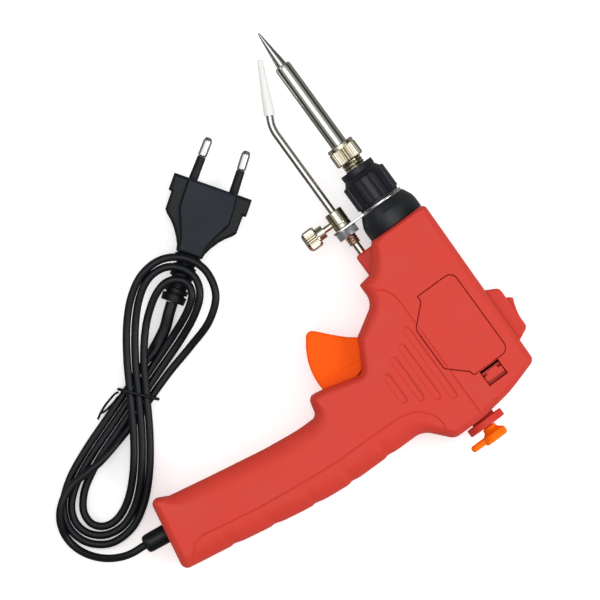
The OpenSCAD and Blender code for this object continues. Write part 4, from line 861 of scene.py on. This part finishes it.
coverShares = [
    (0.343, -0.48, 0.04, 0), (0.805, -0.48, 0.04, 0), (0.805, 0.0695, 0.006, 0), (0.782, 0.073, 0.02, 0),
    (0.697, 0.1243, 0.03, 0), (0.467, 0.1243, 0.03, 0), (0.372, 0.0695, 0.02, 0), (0.343, 0.0695, 0.006, 0),
]
latchBox = {"back": -80.7, "top": -0.85, "bottom": 8.85}


def withoutRepeats(points):
    kept = [points[0]]
    for q in points[1:]:
        if np.linalg.norm(q - kept[-1]) > 0.02:
            kept.append(q)
    return np.array(kept)


coverOutline = withoutRepeats(outlinePoints(coverShares, 12)[:, :2])


# the cover's outline moved out by the gap, with the latch's recess added behind it
def openingOutline():
    out = coverOutline + ringNormals(coverOutline) * casingValues["coverGap"]
    rear, top, bottom = out[:, 0].min(), latchBox["top"], latchBox["bottom"]
    recess = [(rear, top), (latchBox["back"], top), (latchBox["back"], bottom), (rear, bottom)]
    result = []
    for q, after in zip(out, np.roll(out, -1, 0)):
        result.append(q)
        if max(q[0], after[0]) < rear + 0.12 and q[1] < top and after[1] > bottom:
            result += [np.array(c) for c in recess]
    return np.array(result)


def insideSlot(x, y):
    v = triggerSlot
    dx, dy = x - triggerPivot[0], y - triggerPivot[1]
    return math.hypot(dx, dy) < v["radius"] and v["first"] < math.degrees(math.atan2(dy, dx)) < v["last"]


def halfCasing(upper):
    v = casingValues
    holes = [openingOutline()] if upper else []

    def height(p, d):
        z = casingHeight(p, d, upper)
        for h in holes:
            z = z - edgeDrop(ringDistance(p, h), v["openingSoft"], v["openingSoft"])
        return z

    lines = [padLine]
    if upper:
        r = v["grooveHalf"]
        lines += [stepLine]
        for y, xa, xb in grooves:
            ends = arc(xa - r, y, r, -90, 90, 12) + arc(xb + r, y, r, 90, 270, 12)
            lines.append(ends + [(xa - r, y - r)])
    top = sheetParts(casingOutline, holes, height, v["step"], lines)
    edge = divided(casingOutline, v["step"] * 0.9)
    n = len(edge)
    slot = [insideSlot(*m) for m in (edge + np.roll(edge, -1, 0)) / 2]
    levels = [height(edge, np.zeros(n)), triggerSlot["top"], seam["height"], 0]
    walls = wallParts(edge, levels, lambda i, k: k > 0 and slot[i], [0, 0, 0, seam["depth"]])
    return joined([top, walls])


humpOutline = [
    (-45.4, -13.0), (-48.4, -18.6), (-49.4, -19.45), (-51, -19.6), (-67.6, -19.6), (-69.2, -19.3),
    (-70.2, -18.2), (-72.6, -13.0),
]
humpValues = {"top": -19.6, "foot": -13.0, "half": 8.0}
rockerSlot = {"front": -53.2, "back": -68.2, "half": 3.8}
bossOutline = [(-16, 12.5), (-1.9, 13.9), (-1.3, 14.6), (-1.3, 22.0), (-2.1, 22.9), (-13.6, 22.9), (-16, 20)]


# half of the switch hump, open over the rocker, and half of the solder feed's boss
def humpParts():
    x0, x1, half = (rockerSlot[k] for k in ("front", "back", "half"))
    top, foot = humpValues["top"], humpValues["foot"]
    front = humpOutline[:4] + [(x0, top), (x0, foot)]
    rear = [(x1, foot), (x1, top)] + humpOutline[5:]
    pieces = [slab(humpOutline, half, humpValues["half"], 1.1, 4)]
    pieces += [slab(o, 0.05, half + 1.5, 0.05, 1) for o in (front, rear)]
    return joined(pieces + [slab(bossOutline, 0.02, 3.6, 1.2, 4)])


screwSpots = [(-13.02, -9.2), (-80.0, -7.45), (-83.98, 30.05), (-56.95, 91.9), (-61.02, 146.0)]


def addCasing():
    look = {"sharp": 32, "wall": casingValues["wall"]}
    upper, lower = halfCasing(True), mirrored(halfCasing(False))
    addPiece("upperCasing", upper, "redPlastic", "gun", "red_plastic", "upper_shell", **look)
    addPiece("lowerCasing", lower, "redPlastic", "gun", "red_plastic", "lower_shell", **look)
    hump = humpParts()
    addPiece("upperCasingHump", hump, "redPlastic", "gun", "red_plastic", sharp=32)
    addPiece("lowerCasingHump", mirrored(hump), "redPlastic", "gun", "red_plastic", sharp=32)
    head = turnedParts(softened([(-16.4, 0), (-16.4, 2.3), (-14.2, 2.5), (-14.2, 0)], 0.4), 32)
    heads = joined([stood(head, x, y) for x, y in screwSpots])
    addPiece("casingScrews", heads, "boltSteel", "gun", "steel", "shell_screws")


# cover and latch

coverValues = {"edge": 0.32, "wall": 1.5, "step": 1.1, "sideEnd": 16.3}
# the ledge inside the casing under the gap round the cover: how far in, and how high
ledgeSection = [(-0.6, 15.0), (-0.6, 15.5), (1.0, 15.5), (1.0, 15.0)]


def addLedge():
    ring = divided(coverOutline, 1.0)
    inward = -ringNormals(ring)
    points = [np.column_stack([ring + inward * k, np.full(len(ring), z)]) for k, z in ledgeSection]
    part = np.vstack(points), gridFaces(len(ledgeSection), len(ring), shutRows=True)
    addPiece("coverLedge", part, "redPlastic", "gun", "red_plastic", sharp=32)


def addCover():
    v = coverValues

    def height(p, d):
        line = smoothStep((d - 0.3) / 0.6) * lineDrop(p, stepLine)
        return halfW - edgeDrop(d, v["edge"], v["edge"]) - line

    rows = (0.06, 0.16, 0.34, 0.8)
    part = sheetParts(coverOutline, [], height, v["step"], [stepLine], side=v["sideEnd"], rim=rows)
    look = {"sharp": 32, "wall": v["wall"]}
    addPiece("sideCover", part, "redPlastic", "cover", "red_plastic", "side_cover", **look)
    addLedge()


# In the plan: a plate under the casing with two notches, the tee on it that shows in the recess, and an ear
# that its spring presses.
def addLatch():
    top, bottom = latchBox["top"], latchBox["bottom"]
    edge, low, far = top + 0.3, bottom - 0.2, 11.2
    plate = [
        (-80.35, edge), (-76.9, edge), (-76.9, 0.7), (-75.8, 0.7), (-75.8, edge), (-74.35, edge),
        (-74.35, low), (-75.8, low), (-75.8, 7.4), (-76.9, 7.4), (-76.9, low), (-76.9, far), (-80.35, far),
    ]
    first, last = top + 0.35, bottom - 0.35
    tee = [
        (-79.1, first), (-76.3, first), (-76.3, 1.3), (-74.9, 1.3), (-74.9, 6.7), (-76.3, 6.7), (-76.3, last),
        (-79.1, last),
    ]
    ear = [(-76.15, 11.1), (-74.45, 11.1), (-74.45, 14.8), (-76.15, 14.8)]
    pieces = [slab(plate, 13.95, 15.5, 0.1, 2), slab(tee, 15.4, 17.3, 0.15), slab(ear, 11.45, 15.3, 0.08)]
    addPiece("coverLatch", joined(pieces), "redPlastic", "latch", "red_plastic", "cover_latch", sharp=32)


# trigger

triggerValues = {"half": 8.0, "radius": 30.4, "hub": 5.2, "edge": 1.1}
sectorValues = {
    "teeth": 61, "first": -5, "last": 1, "module": 0.8, "addendum": 0.8, "thinned": 0.05, "pressure": 20,
    "low": -8.0, "high": -4.0,
}


# the toothed sector on the trigger, its flanks involute
def sectorOutline(cx, cy):
    v = sectorValues
    module, teeth = v["module"], v["teeth"]
    pressure = math.radians(v["pressure"])
    pitch = module * teeth / 2
    base = pitch * math.cos(pressure)
    root = pitch - 1.2 * module
    out = [(cx, cy)]
    for k in range(v["first"], v["last"] + 1):
        middle = 2 * math.pi * k / teeth - math.pi / 2
        flank = []
        for r in (root, max(root, base), pitch, pitch + v["addendum"] * module):
            a = math.acos(min(1, base / max(r, base)))
            half = math.pi / 2 / teeth - v["thinned"] / pitch
            flank.append((r, half + math.tan(pressure) - pressure - math.tan(a) + a))
        for r, w in flank:
            out.append((cx + r * math.cos(middle - w), cy + r * math.sin(middle - w)))
        for r, w in reversed(flank):
            out.append((cx + r * math.cos(middle + w), cy + r * math.sin(middle + w)))
    return out


def addTrigger():
    cx, cy = triggerPivot
    v = triggerValues
    half, hubRadius = v["half"], v["hub"]
    front = [(-33.0, 39.0), (-30.4, 42.2), (-27.2, 46.5), (-22.3, 51.4), (-17.9, 55.3)]
    tip = [(-16.8, 56.4), (-15.9, 57.5), (-15.6, 58.6), (-15.8, 59.8), (-16.5, 60.8)]
    back = arc(cx, cy, v["radius"] - 0.05, 51.5, 112, 30) + [(-39.0, 37.4), (-36.5, 36.0)]
    crest = [(-38.7, 47.8), (-35.4, 69.6)]

    def height(p, d):
        far = polylineDistance(p, crest)
        return half - edgeDrop(d, v["edge"], v["edge"]) - 0.12 * (1 - smoothStep((far - 0.05) / 0.2))

    rows = (0.06, 0.18, 0.4, 0.75, 1.1)
    outline = divided(front + tip + back, 0.8)
    top = sheetParts(outline, [], height, 1.0, [crest], side=0.0, rim=rows)
    hub = softened([(-half, 0), (-half, hubRadius), (half, hubRadius), (half, 0)], 0.4)
    teeth = slab(sectorOutline(cx, cy), sectorValues["low"], sectorValues["high"], 0.04, 1)
    part = joined([top, mirrored(top), stood(turnedParts(hub, 48), cx, cy), teeth])
    addPiece("triggerPiece", part, "orangePlastic", "trigger", "orange_plastic", "trigger", sharp=35)


# barrel

barrelValues = {"sleeve": 3.8, "nut": 6.6, "nutRidges": 28, "collar": 10.42, "collarRibs": 16}


def evenly(x0, x1, count, r):
    return [(x, r) for x in np.linspace(x0, x1, count)]


def stepped(x0, x1, step, r):
    return [(x, r) for x in np.arange(x0, x1 + 1e-6, step)]


# a screw thread between x0 and x1, cut into the radius
def threads(x0, x1, pitch, depth):
    def shape(x, a, r):
        k = (x / pitch + a / (2 * math.pi)) % 1
        return -depth * abs(2 * k - 1) if x0 < x < x1 else 0

    return shape


# ridges along a turned part between x0 and x1, with valleys cut into the radius
def ridges(x0, x1, count, depth, power):
    def shape(x, a, r):
        k = (a * count / (2 * math.pi)) % 1
        return -depth * abs(2 * k - 1) ** power if x0 < x < x1 else 0

    return shape


def addBarrel():
    v = barrelValues
    tip = [
        (41.5, 0), (41.5, 3.1), (83.9, 3.1), (83.9, 2.42), (85.2, 2.38), (101.3, 0.62), (102.25, 0.28),
        (102.3, 0),
    ]
    bit = turnedParts(softened(tip, 0.4), 64)
    addPiece("solderingBit", bit, "bitMetal", "gun", "bit_metal", "soldering_tip")

    sleeve = [
        (39.9, 3.35), (39.9, 4.55), (40.8, 4.55), (40.9, v["sleeve"]), (83.3, v["sleeve"]), (84.6, 3.6),
        (85.0, 3.1), (85.0, 2.6), (84.2, 2.6), (84.2, 3.3), (40.2, 3.3),
    ]
    sleeve = turnedParts(softened(sleeve, 0.35))
    addPiece("barrelSleeve", sleeve, "chrome", "gun", "chrome", "barrel_sleeve")

    x0, x1 = 33.92, 42.58
    nut = [(x0, 5.0), (x0, 6.05), (x0 + 0.4, 6.4)] + evenly(34.5, 40.5, 9, v["nut"])
    nut += [(40.65, 6.1), (40.95, 6.1), (41.05, 6.4), (x1 - 0.45, 6.4), (x1, 6.0), (x1, 3.95)]
    nut = turnedParts(nut, 240, ridges(34.4, 40.6, v["nutRidges"], 0.62, 1.5))
    addPiece("knurledNut", nut, "nickelPlate", "nut", "nickel", "knurled_nut", sharp=30)

    inner, neck, shoulder = 2.4, 4.8, 6.95
    socket = [(-20, inner), (-20, neck), (-7.5, neck), (-7.45, shoulder), (-4.75, shoulder), (-4.7, neck)]
    socket += [(29.4, neck)] + stepped(29.5, 39.0, 0.13, neck + 0.15)
    socket += [(39.2, 4.4), (39.6, 4.2), (39.6, inner)]
    socket = turnedParts(socket, 72, threads(29.45, 39.1, 1.3, 0.55))
    addPiece("heaterSocket", socket, "nickelPlate", "gun", "steel", "heater_socket", sharp=30)


def addCollar():
    v = barrelValues

    # broad ribs with narrow slots between them
    def slots(x, a, r):
        k = (a * v["collarRibs"] / (2 * math.pi)) % 1
        return -0.9 * float(1 - smoothStep((abs(k - 0.5) - 0.07) / 0.13)) if 13.55 < x < 25.1 else 0

    prof = [(12.25, 4.9), (12.25, 9.3), (12.6, 9.6), (13.5, 9.65), (13.6, 10.2), (13.9, v["collar"])]
    prof += evenly(14.2, 24.3, 9, v["collar"]) + [(24.8, 10.3), (25.05, 9.9), (25.2, 9.2)]
    prof += [(27.4, 7.7), (27.6, 7.95), (29.9, 8.0), (30.15, 7.75), (30.15, 4.9)]
    collar = turnedParts(prof, 264, slots)
    addPiece("heatCollar", collar, "collarBlack", "gun", "black_metal", "heat_collar", sharp=35)


def addNoseCap():
    prof = [
        (-4.5, 5.0), (-4.5, 10.9), (-2.3, 10.9), (-2.3, 9.55), (0.02, 9.55), (0.02, 13.2), (0.4, 13.33),
        (4.4, 13.33), (6.6, 13.0), (10.3, 11.2), (11.05, 10.6), (11.05, 5.0),
    ]
    cap = turnedParts(softened(prof, 0.5), 128)
    addPiece("noseCap", cap, "blackPlastic", "gun", "black_plastic", "nose_cap", sharp=35)


def addPlate():
    disc = arc(0, 0, 10.43, 118, 422, 60)
    arm = arc(0, 20.55, 4.45, 0, 180, 20)
    plate = acrossBarrel(slab([(y, z) for z, y in disc + arm], 11.12, 12.18, 0.18, 2))
    addPiece("bracketPlate", plate, "steel", "gun", "steel", "bracket_plate", sharp=30)


# solder feed

feedValues = {
    "drop": 19.5, "tube": 1.69, "bend": 15.0, "turn": 26.0, "bendStart": 62.0, "nutCorner": 5.7,
    "screwX": 15.94, "screwRidges": 26,
}


# a part turned about x moved down from the barrel's axis to the solder wire's
def onWire(part):
    return part[0] + np.array([0, feedValues["drop"], 0]), part[1]


def addTube():
    v = feedValues
    path = [(x, v["drop"], 0) for x in (8.3, 20, 40, v["bendStart"] - 0.5)]
    for t in np.radians(np.linspace(0, v["turn"], 14)):
        y = v["drop"] - v["bend"] * (1 - math.cos(t))
        path.append((v["bendStart"] + v["bend"] * math.sin(t), y, 0))
    t = math.radians(v["turn"])
    end = path[-1]
    path.append((end[0] + 7.9 * math.cos(t), end[1] - 7.9 * math.sin(t), 0))
    addPiece("feedTube", sweptParts(path, circle(v["tube"], 40)), "chrome", "tube", "chrome", "feed_tube")
    prof = [(2.1, 1.72), (2.1, 2.45), (5, 2.45), (26.2, 1.28), (26.75, 1.0), (26.75, 0.8), (12.0, 0.8)]
    prof += [(12.0, 0)]
    nozzle = shifted(turnedParts(softened(prof, 0.3), 56), end, -t)
    addPiece("feedNozzle", nozzle, "whiteCeramic", "tube", "white_ceramic", "feed_nozzle")


def addClamp():
    corner = feedValues["nutCorner"]
    head = [
        (12.25, 2.9), (12.25, 3.9), (12.6, 4.12), (14.0, 4.12), (14.2, 3.95), (14.6, 4.12), (20.2, 4.12),
        (20.65, 3.75), (20.65, 1.78), (18.0, 1.78),
    ]
    stem = [(3.35, 1.8), (3.35, 2.4)] + stepped(3.5, 12.4, 0.09, 2.76) + [(12.5, 1.8)]
    parts = [turnedParts(softened(head, 0.2), 56), turnedParts(stem, 56, threads(3, 13, 1.2, 0.5))]
    addPiece("tubeClamp", onWire(joined(parts)), "nickelPlate", "gun", "nickel", "tube_clamp", sharp=30)

    # cuts the turned nut down to its six flats
    def flats(x, a, r):
        k = (a + math.pi / 6) % (math.pi / 3) - math.pi / 6
        return min(r, corner * math.cos(math.pi / 6) / math.cos(k)) - r

    nut = [(7.62, 2.85), (7.62, 4.9), (8.25, corner), (10.45, corner), (11.08, 4.9), (11.08, 2.85)]
    nut = onWire(turnedParts(nut, 96, flats))
    addPiece("lockNut", nut, "darkSteel", "gun", "dark_steel", "lock_nut", sharp=25)


def addThumbScrew():
    v = feedValues
    screw = [(2.0, 0), (2.0, 1.38), (7.9, 1.38), (7.95, 3.0), (11.1, 3.0), (11.15, 4.3), (11.7, 4.55)]
    screw += evenly(12.1, 16.3, 6, 4.75) + [(16.5, 4.5), (17.3, 4.1), (17.85, 3.0), (17.9, 0)]
    part = turnedParts(screw, 180, ridges(12.0, 16.4, v["screwRidges"], 0.6, 1.4))
    part = shifted(part, (v["screwX"], v["drop"], 0), math.pi / 2)
    addPiece("thumbScrew", part, "nickelPlate", "screw", "nickel", "thumb_screw", sharp=30)


def addGuide():
    guide = [(-30.75, 0), (-30.75, 1.0), (-30.75, 1.68)] + stepped(-30.7, 4.9, 0.8, 1.68)
    guide += [(4.95, 1.68), (4.95, 0.9), (4.0, 0.9), (4.0, 0)]
    addPiece("wireGuide", onWire(turnedParts(guide, 40)), "nickelPlate", "gun", "nickel", "wire_guide")


# rear collar, inlet, rocker and strain relief


def addRear():
    disc = [
        (-88.1, 0), (-88.1, 5.5), (-91.1, 5.5), (-91.1, 8.5), (-91.6, 8.78), (-94.2, 8.78), (-94.58, 8.4),
        (-94.58, 2.3),
    ]
    disc = onWire(turnedParts(softened(disc, 0.3)))
    addPiece("rearCollar", disc, "redPlastic", "gun", "red_plastic", "rear_collar", sharp=35)
    flare = [
        (-86.3, 1.05), (-86.3, 2.18), (-94.88, 2.18), (-94.9, 3.1), (-96.3, 3.15), (-97.3, 4.0),
        (-98.3, 5.6), (-100.6, 5.78), (-101.68, 5.0), (-101.68, 3.6), (-98.2, 1.1),
    ]
    flare = onWire(turnedParts(softened(flare, 0.9), 72))
    tab = [(22.0, -2.95)] + arc(28.5, 0, 2.95, -90, 90, 14) + [(22.0, 2.95)]
    tab = acrossBarrel(slab(tab, -100.7, -97.75, 1.2, 6))
    inlet = joined([flare, tab])
    addPiece("wireInlet", inlet, "inletPlastic", "inlet", "orange_plastic", "wire_inlet", sharp=35)


rockerValues = {"pivot": (-60.7, -17.208), "half": 3.48}
# outline from the rocker's pivot
rockerShape = [
    (6.55, -2.7), (5.9, -3.9), (5.0, -4.75), (4.4, -4.78), (3.6, -4.3), (2.1, -3.75), (-0.1, -3.05),
    (-3, -2.5), (-6.0, -2.25), (-6.65, -1.6), (-6.7, -0.5), (-3.3, 2.28), (3.3, 2.28),
]


def addRocker():
    x, y = rockerValues["pivot"]
    half = rockerValues["half"]
    part = slab([(x + a, y + b) for a, b in rockerShape], -half, half, 0.45, 4)
    addPiece("switchRocker", part, "redPlastic", "rocker", "red_plastic", "rocker", sharp=35)


strainValues = {"at": (-49.9, 161.5, 0), "angle": 83.5}


def addRelief():
    v = strainValues
    prof = [
        (-6, 0), (-6, 4.25), (-4.5, 4.25), (-4.4, 3.2), (-1.7, 3.2), (-1.65, 4.28), (7.2, 4.15), (8.7, 3.8),
        (9.38, 2.6), (9.38, 0),
    ]
    part = shifted(turnedParts(softened(prof, 0.5), 64), v["at"], math.radians(v["angle"]))
    return addPiece("strainRelief", part, "cordRubber", "gun", "black_rubber", "strain_relief", sharp=35)


# pieces carried over from the construction, with the finish of each, save the cover pin, whose black is
# painted shade

carried = {
    # the cover pin is bright steel; it takes the collar's black as painted shade, so the gap round the cover
    # shows dark where the pin lies under it
    "heating_element": "whiteCeramic", "rear_guide": "nickelPlate", "cover_pin": "collarBlack",
    "latch_spring": "steel", "trigger_pin": "steel", "trigger_spring": "steel", "feed_wheel": "nickelPlate",
    "feed_gear": "steel", "feed_axle": "steel", "axle_clip": "darkSteel", "pressure_roller": "steel",
    "roller_axle": "steel", "pressure_lever": "steel", "lever_pin": "steel", "lever_spring": "steel",
    "rocker_switch": "blackPlastic", "rocker_pin": "steel", "circuit_board": "boardGreen",
    "diode": "blackPlastic", "inner_leads": "cordRubber", "cord_clamp": "blackPlastic",
}


def dressCarried():
    for name, material in carried.items():
        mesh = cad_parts[name].data
        mesh.materials.clear()
        mesh.materials.append(looks[material])


# room and lights

roomValues = {"light": 0.55, "floorHalf": 3.0, "floorTone": 0.93, "floorGlow": 0.42, "floorDrop": 0.0002}
# what metal reflects, from straight below to straight above
mirrorTones = [
    (0.0, (0.16, 0.16, 0.15)), (0.3, (0.03, 0.03, 0.03)), (0.5, (0.04, 0.04, 0.04)),
    (0.62, (0.45, 0.45, 0.45)), (0.74, (0.3, 0.3, 0.3)), (0.9, (0.82, 0.82, 0.82)),
]
white = (1, 1, 1, 1)


def addWorld():
    world = bpy.data.worlds.new("studio")
    bpy.context.scene.world = world
    world.use_nodes = True
    tree = world.node_tree
    tree.nodes.clear()
    place = addNode(tree, "TexCoord").outputs["Generated"]
    height = addNode(tree, "SeparateXYZ", {"Vector": place}).outputs["Z"]
    ramp = addNode(tree, "ValToRGB", {"Fac": height})
    elements = ramp.color_ramp.elements
    for element, (position, tone) in zip(elements, (mirrorTones[0], mirrorTones[-1])):
        element.position = position
        element.color = (*tone, 1)
    for position, tone in mirrorTones[1:-1]:
        elements.new(position).color = (*tone, 1)

    def shine(color, strength):
        return addNode(tree, "Background", {"Color": color, "Strength": strength}).outputs["Background"]

    path = addNode(tree, "LightPath").outputs
    mirror = shine(ramp.outputs["Color"], 1.0)
    light = mixed(tree, path["Is Glossy Ray"], shine(white, roomValues["light"]), mirror)
    seen = mixed(tree, path["Is Camera Ray"], light, shine(white, 1.0))
    addNode(tree, "OutputWorld", {"Surface": seen})


def addFloor():
    v = roomValues
    s, z = v["floorHalf"], -v["floorDrop"]
    mesh = bpy.data.meshes.new("floor")
    mesh.from_pydata([(-s, -s, z), (s, -s, z), (s, s, z), (-s, s, z)], [], [(0, 1, 2, 3)])
    floor = bpy.data.objects.new("floor", mesh)
    bpy.context.scene.collection.objects.link(floor)
    mat, tree, bsdf = newMaterial("floorWhite")
    plain = {"Base Color": (*[v["floorTone"]] * 3, 1), "Roughness": 0.9, "Specular IOR Level": 0.1}
    setInputs(tree, bsdf, plain)
    path = addNode(tree, "LightPath").outputs
    strength = addNode(tree, "Math", {0: path["Is Camera Ray"], 1: v["floorGlow"]}, "MULTIPLY")
    glow = addNode(tree, "Emission", {"Color": white, "Strength": strength.outputs["Value"]})
    both = addNode(tree, "AddShader", {0: bsdf.outputs["BSDF"], 1: glow.outputs["Emission"]})
    # metal sees the floor as this flat dim tone instead of its lit white: a painted reflection
    dim = addNode(tree, "Emission", {"Color": (0.3, 0.29, 0.27, 1), "Strength": 1.0})
    seen = mixed(tree, path["Is Glossy Ray"], both.outputs["Shader"], dim.outputs["Emission"])
    tree.links.new(seen, tree.nodes["Material Output"].inputs["Surface"])
    mesh.materials.append(mat)


lightValues = {
    "keyLight": {"at": (-0.75, -0.85, 0.9), "size": 0.7, "power": 8.5},
    "topLight": {"at": (0.1, 0.0, 1.5), "size": 0.9, "power": 6.0},
    "fillLight": {"at": (0.8, 0.6, 0.8), "size": 0.6, "power": 2.0},
}


def addLights():
    for name, v in lightValues.items():
        data = bpy.data.lights.new(name, "AREA")
        data.shape = "RECTANGLE"
        data.size = data.size_y = v["size"]
        data.energy = v["power"]
        obj = bpy.data.objects.new(name, data)
        bpy.context.scene.collection.objects.link(obj)
        obj.location = v["at"]
        obj.rotation_mode = "QUATERNION"
        obj.rotation_quaternion = (-Vector(v["at"])).to_track_quat("-Z", "Y")


# everything in turn

cord, cordRow, cordLength = addCord()
tie = addTie()
plugPieces = [addPlugBody(), *addPlugPins(), addPlugRelief()]
relief = addRelief()
[float(c) for c in cordRow[0]]
[[float(c) for c in p] for p in cordRow]
print("cord, plug and tie made", flush=True)
addCasing()
print("casing made", flush=True)
addCover()
addLatch()
addTrigger()
print("cover, latch and trigger made", flush=True)
addBarrel()
addCollar()
addNoseCap()
addPlate()
print("barrel made", flush=True)
addTube()
addClamp()
addThumbScrew()
addGuide()
addRear()
addRocker()
dressCarried()
print("feed, rear and rocker made", flush=True)
addWorld()
addFloor()
addLights()
bpy.context.scene.view_settings.view_transform = "Standard"
